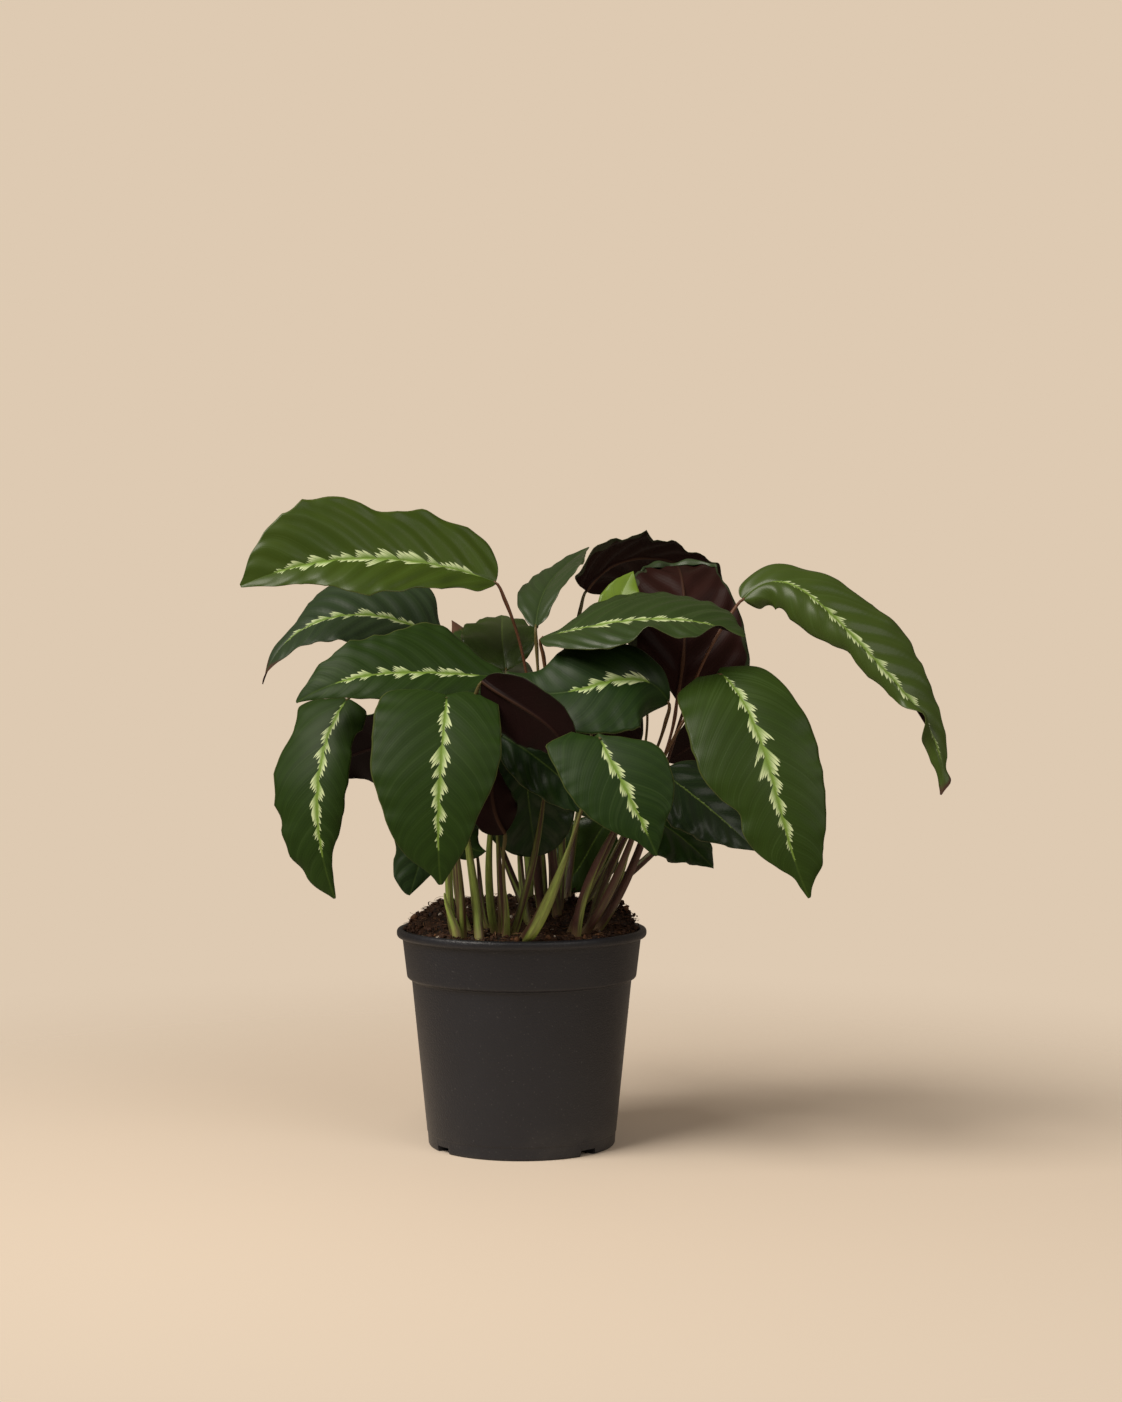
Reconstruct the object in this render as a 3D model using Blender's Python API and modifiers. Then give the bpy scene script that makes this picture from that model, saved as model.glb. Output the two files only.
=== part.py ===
"""A potted calathea in a plastic nursery pot, at its real size in metres, +Z up.

The origin is the middle of the pot's underside. The pot, the soil, every leaf blade and every
leaf stalk is one closed solid of its own, with a small gap to what it touches."""

import math

import bpy
import numpy as np

MM = 0.001  # all the sizes and places below are in millimetres
GAP = 0.3  # left between two pieces that meet

# The pot: a lip, a collar below it and a tapering body on a notched foot ring.
POT_HEIGHT = 121.0
LIP_RADIUS, LIP_HEIGHT = 70.0, 6.0
COLLAR_RADII, COLLAR_FOOT = (66.9, 64.2), 93.0
BODY_RADII = (61.6, 52.3)
WALL, FLOOR = 1.6, 2.0
FOOT_RING_INNER, FOOT_DISC_RADIUS, CHANNEL_DEPTH = 46.0, 40.0, 3.6
NOTCH_ANGLES, NOTCH_WIDTH = (35, 135, 215, 315), 10.0  # degrees around the axis from +X
DRAIN_RADIUS = 2.5
TURN_STEPS = 40

# The soil: level with the lip at the front, heaped up behind.
SOIL_RADIUS, SOIL_LEVEL, SOIL_HEAP = 64.7, 120.5, 13.5
HEAP_START, HEAP_RUN = -40.0, 60.0
SOIL_SLOPE = 0.45  # the steepest that a stem stands on
SOIL_RINGS = (60.0, 52.0, 38.0, 20.0)

# Leaves
BLADE_THICKNESS = 0.7
BLADE_ROWS, BLADE_COLUMNS = 9, 4
STALK_STEPS = 9

# For every leaf, rib is the midrib's course from the stalk to the tip. halves are the widths of
# the left and right half, seen from above with the tip ahead, and outline is how each half swells
# from the base and narrows to the tip. faces is where the upper side looks at the base and at the
# tip. Each half rises from the midrib by fold degrees and bends down by droop degrees to its edge.
# wave is the height, number and phase of the ripples along the edge. stalk is its foot on the
# soil and two places on its way up, and thick is its radius at the foot and at the blade.
LEAVES = {
    "top_left": dict(
        rib=((-14, -8, 314), (-45, -14, 323), (-99, -26, 326), (-153, -34, 311)),
        halves=(30, 35), outline=((0.6, 1), (0.65, 0.68)),
        faces=((0, -0.6, 0.8), (-0.1, -0.95, 0.4)),
        fold=(20, 26), droop=(30, 10), wave=(1.8, 5, 0.3),
        stalk=((11, 0), (7, 0, 192), (4, -2, 254)), thick=(2.2, 1.2),
    ),
    "left_behind": dict(
        rib=((-44, 30, 278), (-70, 30, 293), (-112, 26, 294), (-147, 14, 257)),
        halves=(27, 32), outline=((0.6, 1.1), (0.5, 1.7)),
        faces=((0, -0.7, 0.7), (-0.5, -0.5, 0.7)),
        fold=(15, 20), droop=(30, 30), wave=(1.8, 4, 1),
        stalk=((12, 14), (4, 24, 202), (-19, 28, 254)), thick=(2.2, 1.2),
    ),
    "left_middle": dict(
        rib=((-8, -50, 262), (-43, -62, 264), (-78, -70, 263), (-119, -66, 248)),
        halves=(19, 34), outline=((0.62, 1.08), (0.62, 1.08)),
        faces=((0, -0.75, 0.66), (-0.2, -0.85, 0.5)),
        fold=(15, 18), droop=(40, 25), wave=(1.8, 4, 0),
        stalk=((-14, -32), (-17, -36, 171), (-11, -38, 227)), thick=(2.2, 1.2),
    ),
    "front_left": dict(
        rib=((-38, -82, 252), (-39, -96, 235), (-41, -108, 199), (-40, -108, 155)),
        halves=(33, 38), outline=((0.42, 0.9), (0.42, 0.9)),
        faces=((0, -1, 0.3), (0, -1, 0.3)),
        fold=(8, 8), droop=(18, 18), wave=(1, 4, 0),
        stalk=((-32, -44), (-34, -56, 164), (-39, -70, 223)), thick=(2.2, 1.2),
    ),
    "left_hanging": dict(
        rib=((-94, -40, 250), (-105, -54, 225), (-108, -62, 185), (-99, -60, 143)),
        halves=(17, 27), outline=((0.62, 1.08), (0.62, 1.08)),
        faces=((-0.45, -1, 0.2), (-0.3, -1, 0.1)),
        fold=(10, 6), droop=(50, 24), wave=(2.2, 4, 0.5),
        stalk=((-36, -38), (-41, -30, 194), (-61, -26, 254)), thick=(1.9, 1.2),
    ),
    "left_inner": dict(
        rib=((-46, -4, 230), (-68, -2, 225), (-91, 2, 219), (-115, 8, 206)),
        halves=(24, 30), outline=((0.62, 1.08), (0.62, 1.08)),
        faces=((0, 0.9, 0.6), (0, 0.9, 0.6)),
        fold=(5, 5), droop=(10, 10), wave=(2, 4, 0.5),
        stalk=((-29, -30), (-37, -16, 160), (-40, -14, 211)), thick=(2, 1.2),
    ),
    "center_top": dict(
        rib=((11, -58, 283), (44, -66, 290), (87, -74, 292), (119, -78, 283)),
        halves=(30, 26), outline=((0.62, 1.08), (0.62, 1.08)),
        faces=((0, -0.5, 0.87), (0.1, -0.5, 0.85)),
        fold=(8, 8), droop=(24, 30), wave=(1.8, 4, 0.6),
        stalk=((-4, -36), (8, -42, 167), (15, -46, 228)), thick=(2.2, 1.2),
    ),
    "right_arching": dict(
        rib=((121, -32, 304), (144, -38, 313), (186, -56, 276), (228, -66, 208)),
        halves=(28, 18), outline=((0.62, 1), (0.5, 1.2)),
        faces=((0, -0.6, 0.8), (0.45, -0.8, 0.4)),
        fold=(12, 4), droop=(22, 100), wave=(1.8, 5, 0),
        stalk=((42, -26), (66, -34, 171), (93, -38, 255)), thick=(2.2, 1.2),
    ),
    "front_right": dict(
        rib=((107, -66, 264), (119, -84, 247), (134, -104, 199), (150, -108, 148)),
        halves=(29, 36), outline=((0.5, 1), (0.5, 1.1)),
        faces=((0.1, -1, 0.3), (0, -1, 0.2)),
        fold=(8, 8), droop=(20, 20), wave=(1.4, 4, 0.7),
        stalk=((34, -36), (59, -48, 171), (77, -58, 218)), thick=(2.2, 1.2),
    ),
    "front_small": dict(
        rib=((42, -100, 231), (49, -110, 217), (60, -118, 195), (71, -120, 171)),
        halves=(27, 31), outline=((0.6, 1), (0.35, 1)),
        faces=((0, -1, 0.35), (0, -1, 0.35)),
        fold=(8, 8), droop=(15, 15), wave=(0.8, 3, 0),
        stalk=((3, -60), (27, -80, 174), (39, -88, 216)), thick=(3.2, 1.3),
    ),
    "center": dict(
        rib=((80, -60, 248), (61, -68, 261), (30, -72, 255), (-7, -64, 265)),
        halves=(32, 28), outline=((0.62, 1.08), (1.1, 1.1)),
        faces=((0, -0.85, 0.5), (0, -0.85, 0.5)),
        fold=(14, 12), droop=(25, 25), wave=(1.2, 4, 0),
        stalk=((30, -44), (47, -50, 173), (72, -56, 220)), thick=(2.2, 1.2),
    ),
    "center_turned": dict(
        rib=((-19, -84, 260), (-4, -90, 250), (14, -92, 238), (27, -88, 220)),
        halves=(20, 16), outline=((0.5, 0.6), (0.5, 0.6)),
        faces=((0.35, 0.9, 0.3), (0.35, 0.9, 0.3)),
        fold=(5, 5), droop=(15, 15), wave=(1, 3, 0),
        stalk=((-22, -48), (-28, -46, 169), (-31, -64, 222)), thick=(2.2, 1.2),
    ),
    "back_crest": dict(
        rib=((36, 20, 310), (56, 26, 327), (84, 38, 328), (115, 48, 315)),
        halves=(26, 27), outline=((0.5, 0.8), (0.5, 0.8)),
        faces=((-0.1, 0.3, 0.95), (-0.1, 0.3, 0.95)),
        fold=(5, 20), droop=(20, 10), wave=(3.2, 5, 0),
        stalk=((21, 2), (23, 6, 192), (26, 12, 260)), thick=(2.2, 1.2),
    ),
    "back_upright": dict(
        rib=((86, -20, 249), (90, -22, 282), (90, -12, 309), (87, 18, 324)),
        halves=(34, 32), outline=((0.62, 1.08), (0.62, 1.08)),
        faces=((0, 1, 0), (0, 0.3, -0.95)),
        fold=(6, 6), droop=(12, 12), wave=(2.4, 4, 0.8),
        stalk=((38, -24), (57, -24, 172), (77, -22, 213)), thick=(2.2, 1.2),
    ),
    "young_lime": dict(
        rib=((50, -28, 288), (53, -26, 301), (57, -22, 311), (62, -18, 320)),
        halves=(11, 13), outline=((0.62, 1.08), (0.62, 1.08)),
        faces=((-0.2, -1, 0.2), (-0.2, -1, 0.2)),
        fold=(12, 12), droop=(10, 10), wave=(0.6, 3, 0),
        stalk=((27, -30), (55, -38, 184), (69, -38, 240)), thick=(1.6, 1),
    ),
    "back_olive": dict(
        rib=((-9, 10, 265), (-11, 18, 278), (-12, 36, 289), (-13, 62, 297)),
        halves=(24, 20), outline=((0.62, 1.08), (0.62, 1.08)),
        faces=((0, -0.7, 0.7), (0, -0.7, 0.7)),
        fold=(20, 20), droop=(30, 30), wave=(1.8, 4, 0),
        stalk=((17, 8), (10, 10, 192), (-4, 8, 237)), thick=(2.2, 1.2),
    ),
    "back_folded": dict(
        rib=((8, -20, 289), (11, -4, 305), (19, 18, 319), (38, 46, 336)),
        halves=(12, 16), outline=((0.62, 1.08), (0.62, 1.08)),
        faces=((-0.3, -0.5, 0.8), (-0.3, -0.5, 0.8)),
        fold=(46, 46), droop=(20, 20), wave=(1, 4, 0),
        stalk=((20, -8), (15, -10, 193), (10, -16, 254)), thick=(2.2, 1.2),
    ),
    "back_far": dict(
        rib=((-13, 36, 254), (-20, 80, 270), (-30, 105, 280), (-45, 126, 295)),
        halves=(26, 26), outline=((0.62, 1.08), (0.62, 1.08)),
        faces=((0, -0.2, 0.95), (0, -0.2, 0.95)),
        fold=(8, 8), droop=(40, 40), wave=(1.6, 4, 0),
        stalk=((4, 20), (-3, 26, 191), (-11, 28, 231)), thick=(2.2, 1.2),
    ),
    "low_right": dict(
        rib=((79, 4, 208), (96, 0, 195), (113, -4, 181), (131, -4, 164)),
        halves=(27, 24), outline=((0.62, 1.08), (0.62, 1.08)),
        faces=((0.1, -0.75, 0.65), (0.1, -0.75, 0.65)),
        fold=(10, 10), droop=(25, 25), wave=(1.6, 4, 0),
        stalk=((44, -6), (60, 8, 164), (71, 12, 195)), thick=(2.2, 1.2),
    ),
    "low_right_under": dict(
        rib=((67, 24, 184), (80, 26, 177), (96, 26, 165), (109, 22, 152)),
        halves=(22, 20), outline=((0.62, 1.08), (0.62, 1.08)),
        faces=((0, -0.7, 0.7), (0, -0.7, 0.7)),
        fold=(8, 8), droop=(25, 25), wave=(1.6, 4, 0),
        stalk=((34, 10), (47, 26, 151), (59, 33, 173)), thick=(1.8, 1.2),
    ),
    "low_back": dict(
        rib=((48, 40, 177), (40, 42, 164), (32, 44, 150), (23, 44, 139)),
        halves=(13, 15), outline=((0.62, 1.08), (0.62, 1.08)),
        faces=((0, -0.9, 0.4), (0, -0.9, 0.4)),
        fold=(8, 8), droop=(25, 25), wave=(1.2, 4, 0),
        stalk=((26, 46), (36, 54, 146), (50, 56, 171)), thick=(1.6, 1.2),
    ),
    "low_center": dict(
        rib=((4, -26, 235), (3, -29, 213), (5, -28, 187), (8, -26, 163)),
        halves=(27, 27), outline=((0.62, 1.08), (0.62, 1.08)),
        faces=((0, -1, 0.2), (0, -1, 0.2)),
        fold=(8, 8), droop=(25, 25), wave=(1.2, 4, 0),
        stalk=((4, -20), (-1, -12, 165), (1, -14, 218)), thick=(1.8, 1.2),
    ),
    "center_wavy": dict(
        rib=((-11, -58, 231), (10, -66, 218), (29, -70, 202), (49, -70, 184)),
        halves=(24, 17), outline=((0.62, 1.08), (0.62, 1.08)),
        faces=((0, -0.9, 0.4), (0, -0.9, 0.4)),
        fold=(8, 8), droop=(25, 25), wave=(2.4, 4, 0),
        stalk=((-10, -40), (-12, -46, 168), (-13, -48, 212)), thick=(2, 1.2),
    ),
    "low_purple": dict(
        rib=((-8, -56, 178), (-13, -58, 188), (-15, -58, 201), (-12, -54, 215)),
        halves=(13, 13), outline=((0.62, 1.08), (0.62, 1.08)),
        faces=((0, 1, 0), (0, 1, 0)),
        fold=(12, 12), droop=(10, 10), wave=(0.8, 3, 0),
        stalk=((-8, -50), (-8, -54, 142), (-9, -56, 164)), thick=(1.9, 1.2),
    ),
    "low_curled": dict(
        rib=((-41, -26, 191), (-36, -28, 179), (-28, -28, 168), (-19, -28, 166)),
        halves=(14, 14), outline=((0.62, 1.08), (0.62, 1.08)),
        faces=((0, -0.9, 0.4), (0, -0.9, 0.4)),
        fold=(20, 20), droop=(40, 40), wave=(1.2, 3, 0),
        stalk=((-19, -24), (-24, -17, 160), (-31, -17, 184)), thick=(1.7, 1.2),
    ),
    "low_left": dict(
        rib=((-44, 26, 248), (-46, 40, 225), (-54, 48, 178), (-66, 46, 134)),
        halves=(28, 32), outline=((0.62, 1.08), (0.62, 1.08)),
        faces=((0, -1, 0.2), (0, -1, 0.2)),
        fold=(8, 8), droop=(20, 20), wave=(1.4, 4, 0),
        stalk=((1, 6), (-18, 12, 180), (-36, 8, 229)), thick=(1.9, 1.2),
    ),
    "rear_middle": dict(
        rib=((45, 52, 259), (45, 80, 232), (48, 96, 199), (50, 100, 168)),
        halves=(26, 26), outline=((0.62, 1.08), (0.62, 1.08)),
        faces=((0, 1, 0.3), (0, 1, 0.3)),
        fold=(8, 8), droop=(20, 20), wave=(1.4, 4, 0),
        stalk=((25, 20), (33, 36, 190), (42, 42, 242)), thick=(2.2, 1.2),
    ),
    "rear_right": dict(
        rib=((143, 50, 244), (128, 56, 238), (106, 60, 225), (82, 58, 211)),
        halves=(26, 26), outline=((0.62, 1.08), (0.62, 1.08)),
        faces=((0, 0.8, 0.6), (0, 0.8, 0.6)),
        fold=(8, 8), droop=(20, 20), wave=(1.4, 4, 0),
        stalk=((40, 34), (71, 46, 155), (115, 42, 204)), thick=(2.2, 1.2),
    ),
}

# The rolled young shoot: its foot and its course up to the point.
SHOOT = ((-34, -50), (-36, -50, 129), (-39, -50, 137), (-41, -50, 145))
SHOOT_RADII = (2.2, 0.5)

POT_COLOUR = (0.035, 0.034, 0.034)
SOIL_COLOUR = (0.05, 0.028, 0.016)
STALK_COLOUR = (0.13, 0.09, 0.03)
LEAF_COLOUR = (0.02, 0.07, 0.015)
LIGHT_LEAF_COLOUR = (0.08, 0.2, 0.02)
TURNED_LEAF_COLOUR = (0.05, 0.012, 0.015)
LIGHT_LEAVES = ("top_left", "right_arching", "young_lime")
TURNED_LEAVES = ("back_crest", "back_upright", "center_turned", "low_purple", "left_inner")


def start_scene():
    """Empties the scene and makes the collections for the parts and for the cutters."""
    for old in list(bpy.data.objects):
        bpy.data.objects.remove(old, do_unlink=True)
    made = []
    for name in ("potted_calathea", "cutters"):
        collection = bpy.data.collections.new(name)
        bpy.context.scene.collection.children.link(collection)
        made.append(collection)
    return made


def finish(name, colour, roughness):
    """A material for the sub-part of that name."""
    material = bpy.data.materials.new(name + "_finish")
    material.use_nodes = True
    shader = material.node_tree.nodes["Principled BSDF"]
    shader.inputs["Base Color"].default_value = (*colour, 1)
    shader.inputs["Roughness"].default_value = roughness
    shader.inputs["Metallic"].default_value = 0.0
    return material


def add_object(name, data, collection, material=None):
    """An object of that name in the collection, with the material if there is one."""
    added = bpy.data.objects.new(name, data)
    collection.objects.link(added)
    if material is not None:
        added.data.materials.append(material)
    return added


def mesh_from(name, points, faces):
    """A mesh in metres from points in millimetres."""
    mesh = bpy.data.meshes.new(name)
    mesh.from_pydata((np.asarray(points) * MM).tolist(), [], faces)
    return mesh


def turned(name, profile, collection, material=None):
    """A turned solid: the profile of (radius, height) points runs down its outer side."""
    points = [(radius, 0, height) for radius, height in profile]
    edges = [(i, i + 1) for i in range(len(points) - 1)]
    mesh = bpy.data.meshes.new(name)
    mesh.from_pydata((np.array(points) * MM).tolist(), edges, [])
    solid = add_object(name, mesh, collection, material)
    screw = solid.modifiers.new("turn", "SCREW")
    screw.steps = screw.render_steps = TURN_STEPS
    screw.use_merge_vertices = True
    screw.merge_threshold = 0.00005
    return solid


def body_radius(height):
    """The outer radius of the pot's tapering body at a height."""
    share = height / COLLAR_FOOT
    return BODY_RADII[1] + (BODY_RADII[0] - BODY_RADII[1]) * share


def collar_radius(height):
    """The outer radius of the pot's collar at a height."""
    top = POT_HEIGHT - LIP_HEIGHT
    share = (height - COLLAR_FOOT) / (top - COLLAR_FOOT)
    return COLLAR_RADII[1] + (COLLAR_RADII[0] - COLLAR_RADII[1]) * share


def inside_profile(clearance):
    """The pot's inside from the middle of its floor to below the lip, moved in by clearance."""
    channel_top = CHANNEL_DEPTH + FLOOR
    collar_top = POT_HEIGHT - LIP_HEIGHT
    return [
        (0, FLOOR + clearance),
        (FOOT_DISC_RADIUS - 2.5 - clearance, FLOOR + clearance),
        (FOOT_DISC_RADIUS + 0.5 - clearance, channel_top + clearance),
        (body_radius(channel_top) - WALL - clearance, channel_top + clearance),
        (BODY_RADII[0] - WALL - clearance, COLLAR_FOOT + 1),
        (collar_radius(COLLAR_FOOT + 5) - WALL - clearance, COLLAR_FOOT + 5),
        (collar_radius(collar_top) - WALL - clearance, collar_top),
    ]


def pot(collection, cutters):
    """The pot with its rounded lip, collar and foot, cut by the drain notches and holes."""
    lip_foot = POT_HEIGHT - LIP_HEIGHT
    profile = inside_profile(0.0) + [
        (LIP_RADIUS - 4.4, POT_HEIGHT - 1.5),
        (LIP_RADIUS - 3.7, POT_HEIGHT - 0.4),
        (LIP_RADIUS - 2.8, POT_HEIGHT),
        (LIP_RADIUS - 1.2, POT_HEIGHT),
        (LIP_RADIUS - 0.3, POT_HEIGHT - 0.6),
        (LIP_RADIUS, POT_HEIGHT - 1.6),
        (LIP_RADIUS, lip_foot + 1.4),
        (LIP_RADIUS - 0.4, lip_foot + 0.4),
        (LIP_RADIUS - 1.2, lip_foot),
        (COLLAR_RADII[0], lip_foot),
        (collar_radius(COLLAR_FOOT + 1.6), COLLAR_FOOT + 1.6),
        (COLLAR_RADII[1] - 0.4, COLLAR_FOOT + 0.5),
        (COLLAR_RADII[1] - 1.2, COLLAR_FOOT),
        (BODY_RADII[0], COLLAR_FOOT - 0.4),
        (body_radius(7.5), 7.5),
        (body_radius(7.0) - 0.15, 7.0),
        (BODY_RADII[1] - 0.1, 1.6),
        (BODY_RADII[1] - 0.7, 0.4),
        (BODY_RADII[1] - 1.6, 0),
        (FOOT_RING_INNER, 0),
        (FOOT_RING_INNER, CHANNEL_DEPTH),
        (FOOT_DISC_RADIUS, CHANNEL_DEPTH),
        (FOOT_DISC_RADIUS, 0),
        (0, 0),
    ]
    solid = turned("pot", profile, collection, finish("pot", POT_COLOUR, 0.5))
    ring_middle = (FOOT_RING_INNER + BODY_RADII[1]) / 2
    channel_middle = (FOOT_RING_INNER + FOOT_DISC_RADIUS) / 2
    for i, angle in enumerate(map(math.radians, NOTCH_ANGLES)):
        bpy.ops.mesh.primitive_cube_add(
            size=1,
            location=round_place(ring_middle, angle, 0),
            rotation=(0, 0, angle),
        )
        notch = bpy.context.object
        notch.scale = (12 * MM, NOTCH_WIDTH * MM, 2 * (CHANNEL_DEPTH - 0.2) * MM)
        cut(solid, notch, f"notch_{i}", cutters)
        bpy.ops.mesh.primitive_cylinder_add(
            vertices=12,
            radius=DRAIN_RADIUS * MM,
            depth=3 * FLOOR * MM,
            location=round_place(channel_middle, angle, CHANNEL_DEPTH + FLOOR / 2),
        )
        cut(solid, bpy.context.object, f"drain_{i}", cutters)
    shade_round(solid)
    return solid


def round_place(radius, angle, height):
    """The place in metres at a radius and angle around the pot's axis."""
    return (radius * math.cos(angle) * MM, radius * math.sin(angle) * MM, height * MM)


def cut(solid, cutter, name, cutters):
    """Cuts the solid with the cutter, which moves to the cutters' collection."""
    cutter.name = name
    for held_in in list(cutter.users_collection):
        held_in.objects.unlink(cutter)
    cutters.objects.link(cutter)
    cutter.hide_render = True
    cutter.display_type = "WIRE"
    boolean = solid.modifiers.new(name, "BOOLEAN")
    boolean.object = cutter
    boolean.operation = "DIFFERENCE"
    boolean.solver = "EXACT"


def shade_round(solid):
    """Smooth shading with the real edges kept sharp."""
    solid.data.shade_smooth()
    solid.data.set_sharp_from_angle(angle=math.radians(35))


def soil_height(x, y):
    """The height of the soil: a heap that starts behind the front of the pot and falls steeply
    where it meets the wall."""
    run = np.clip((y - HEAP_START) / HEAP_RUN, 0, 1)
    share = run * run * (3 - 2 * run)
    fall = 1 - (np.hypot(x, y) / (SOIL_RADIUS + GAP)) ** 8
    return SOIL_LEVEL + SOIL_HEAP * share * fall


def soil(collection):
    """The root ball that fills the pot, turned, with its top shaped by soil_height."""
    side = inside_profile(GAP)
    top = [(SOIL_RADIUS, SOIL_LEVEL)] + [(radius, SOIL_LEVEL) for radius in SOIL_RINGS] + [(0, SOIL_LEVEL)]
    # the profile runs down the outer side, so it starts in the middle of the top
    rough = turned("soil_rough", (side + top)[::-1], collection)
    bpy.context.view_layer.update()
    evaluated = rough.evaluated_get(bpy.context.evaluated_depsgraph_get())
    mesh = bpy.data.meshes.new_from_object(evaluated)
    mesh.name = "soil"
    bpy.data.objects.remove(rough, do_unlink=True)
    points = np.array([vertex.co[:] for vertex in mesh.vertices]) / MM
    on_top = points[:, 2] > SOIL_LEVEL - 0.5
    points[on_top, 2] = soil_height(points[on_top, 0], points[on_top, 1])
    mesh.vertices.foreach_set("co", (points * MM).ravel())
    return add_object("soil", mesh, collection, finish("soil", SOIL_COLOUR, 0.95))


def curve_through(points, steps):
    """Points at even distances along the smooth curve through the given points, and the curve's
    direction at each."""
    points = np.array(points, float)
    chord = np.concatenate([[0], np.cumsum(np.linalg.norm(np.diff(points, axis=0), axis=1))])
    powers = np.polyfit(chord / chord[-1], points, len(points) - 1)
    t = np.linspace(0, 1, 400)[:, None]
    fine = sum(power * t ** (len(points) - 1 - i) for i, power in enumerate(powers))
    run = np.concatenate([[0], np.cumsum(np.linalg.norm(np.diff(fine, axis=0), axis=1))])
    even = np.linspace(0, run[-1], steps)
    slope = np.gradient(fine, axis=0)
    places = np.stack([np.interp(even, run, fine[:, k]) for k in range(3)], axis=-1)
    along = np.stack([np.interp(even, run, slope[:, k]) for k in range(3)], axis=-1)
    return places, unit(along)


def unit(vectors):
    """The vectors at length 1."""
    return vectors / np.linalg.norm(vectors, axis=-1, keepdims=True)


def swell(share, outline):
    """A half's width beside its greatest width: share ** start * (1 - share) ** end, scaled so
    that its greatest value is 1."""
    start, end = outline
    widest = start / (start + end)
    return (share / widest) ** start * ((1 - share) / (1 - widest)) ** end


def blade_surface(leaf):
    """The blade's middle surface as a grid of points: rows along the midrib, columns across."""
    places, along = curve_through(leaf["rib"], BLADE_ROWS + 1)
    share = np.linspace(0, 1, BLADE_ROWS + 1)[:, None]
    faces = unit(np.array(leaf["faces"], float))
    up = faces[0] + (faces[1] - faces[0]) * share
    up = unit(up - np.sum(up * along, axis=1, keepdims=True) * along)
    right = np.cross(along, up)
    across = np.linspace(-1, 1, BLADE_COLUMNS + 1)[None, :]
    side = (across > 0).astype(int)
    distance = np.abs(across)
    breadth = np.where(side, swell(share, leaf["outline"][1]), swell(share, leaf["outline"][0]))
    reach = distance * np.array(leaf["halves"])[side] * breadth
    fold, droop = np.array(leaf["fold"])[side], np.array(leaf["droop"])[side]
    slope = np.radians(fold - droop * distance / 2)
    height, count, phase = leaf["wave"]
    turn = 2 * math.pi * count * share + phase + 1.9 * side
    ripple = height * distance**2 * np.sin(turn) * np.minimum(1, 1.3 * breadth)
    sideways = np.sign(across) * reach * np.cos(slope)
    lift = reach * np.sin(slope) + ripple
    return places[:, None] + sideways[..., None] * right[:, None] + lift[..., None] * up[:, None]


def blade(name, leaf, collection, material):
    """The blade: its surface, pointed at both ends, with a Solidify modifier."""
    grid = blade_surface(leaf)
    wide = BLADE_COLUMNS + 1
    inner = grid[1:-1].reshape(-1, 3)
    points = np.concatenate([grid[:1, 0], inner, grid[-1:, 0]])
    last = len(points) - 1
    faces = []
    for j in range(BLADE_COLUMNS):
        faces.append((0, 1 + j, 2 + j))
        for i in range(BLADE_ROWS - 2):
            corner = 1 + i * wide + j
            faces.append((corner, corner + wide, corner + wide + 1, corner + 1))
        corner = 1 + (BLADE_ROWS - 2) * wide + j
        faces.append((corner, last, corner + 1))
    made = add_object(name, mesh_from(name, points, faces), collection, material)
    made.data.shade_smooth()
    shell = made.modifiers.new("thickness", "SOLIDIFY")
    shell.thickness = BLADE_THICKNESS * MM
    shell.offset = 0
    shell.use_even_offset = False
    return made


def stem(name, course, radii, collection, material):
    """A tapering round stem along the smooth curve through its course."""
    places, along = curve_through(course, STALK_STEPS)
    curve = bpy.data.curves.new(name, "CURVE")
    curve.dimensions = "3D"
    curve.bevel_depth = MM
    curve.bevel_resolution = 2
    curve.use_fill_caps = True
    spline = curve.splines.new("POLY")
    spline.points.add(STALK_STEPS - 1)
    sizes = np.linspace(radii[0], radii[1], STALK_STEPS)
    for point, place, size in zip(spline.points, places * MM, sizes):
        point.co = (*place, 1)
        point.radius = size
    return add_object(name, curve, collection, material)


def foot(x, y, first, radius):
    """Where a stem of that radius stands on the soil and leans towards its first place: its
    cut end, tilted as the stem leans, clears the sloping soil."""
    height = float(soil_height(x, y))
    lean = math.hypot(first[0] - x, first[1] - y) / (first[2] - height)
    return (x, y, height + GAP + radius * (lean + SOIL_SLOPE))


def stalk_course(leaf):
    """From the stalk's foot to the blade's base, stopping short by what clears the blade: more
    where the blade turns back beside the stalk."""
    base = np.array(leaf["rib"][0], float)
    start, low, high = leaf["stalk"]
    ahead = unit(np.array(leaf["rib"][1]) - base)
    arriving = unit(base - np.array(high))
    turn_back = np.linalg.norm(ahead - arriving) / 2
    short = GAP + BLADE_THICKNESS / 2 + leaf["thick"][1] * turn_back
    end = base - short * unit(ahead + arriving)
    return [foot(*start, low, leaf["thick"][0]), low, high, end]


def leaf_colour(name):
    """The colour of the side that a leaf shows most."""
    if name in LIGHT_LEAVES:
        return LIGHT_LEAF_COLOUR
    return TURNED_LEAF_COLOUR if name in TURNED_LEAVES else LEAF_COLOUR


def main():
    """Models every sub-part."""
    parts, cutters = start_scene()
    pot(parts, cutters)
    soil(parts)
    for name, leaf in LEAVES.items():
        blade("leaf_" + name, leaf, parts, finish("leaf_" + name, leaf_colour(name), 0.35))
        stalk_name = "stalk_" + name
        stem(stalk_name, stalk_course(leaf), leaf["thick"], parts, finish(stalk_name, STALK_COLOUR, 0.45))
    shoot_course = [foot(*SHOOT[0], SHOOT[1], SHOOT_RADII[0]), *SHOOT[1:]]
    stem("shoot_young", shoot_course, SHOOT_RADII, parts, finish("shoot_young", LIGHT_LEAF_COLOUR, 0.45))


main()
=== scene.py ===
import math

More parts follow.
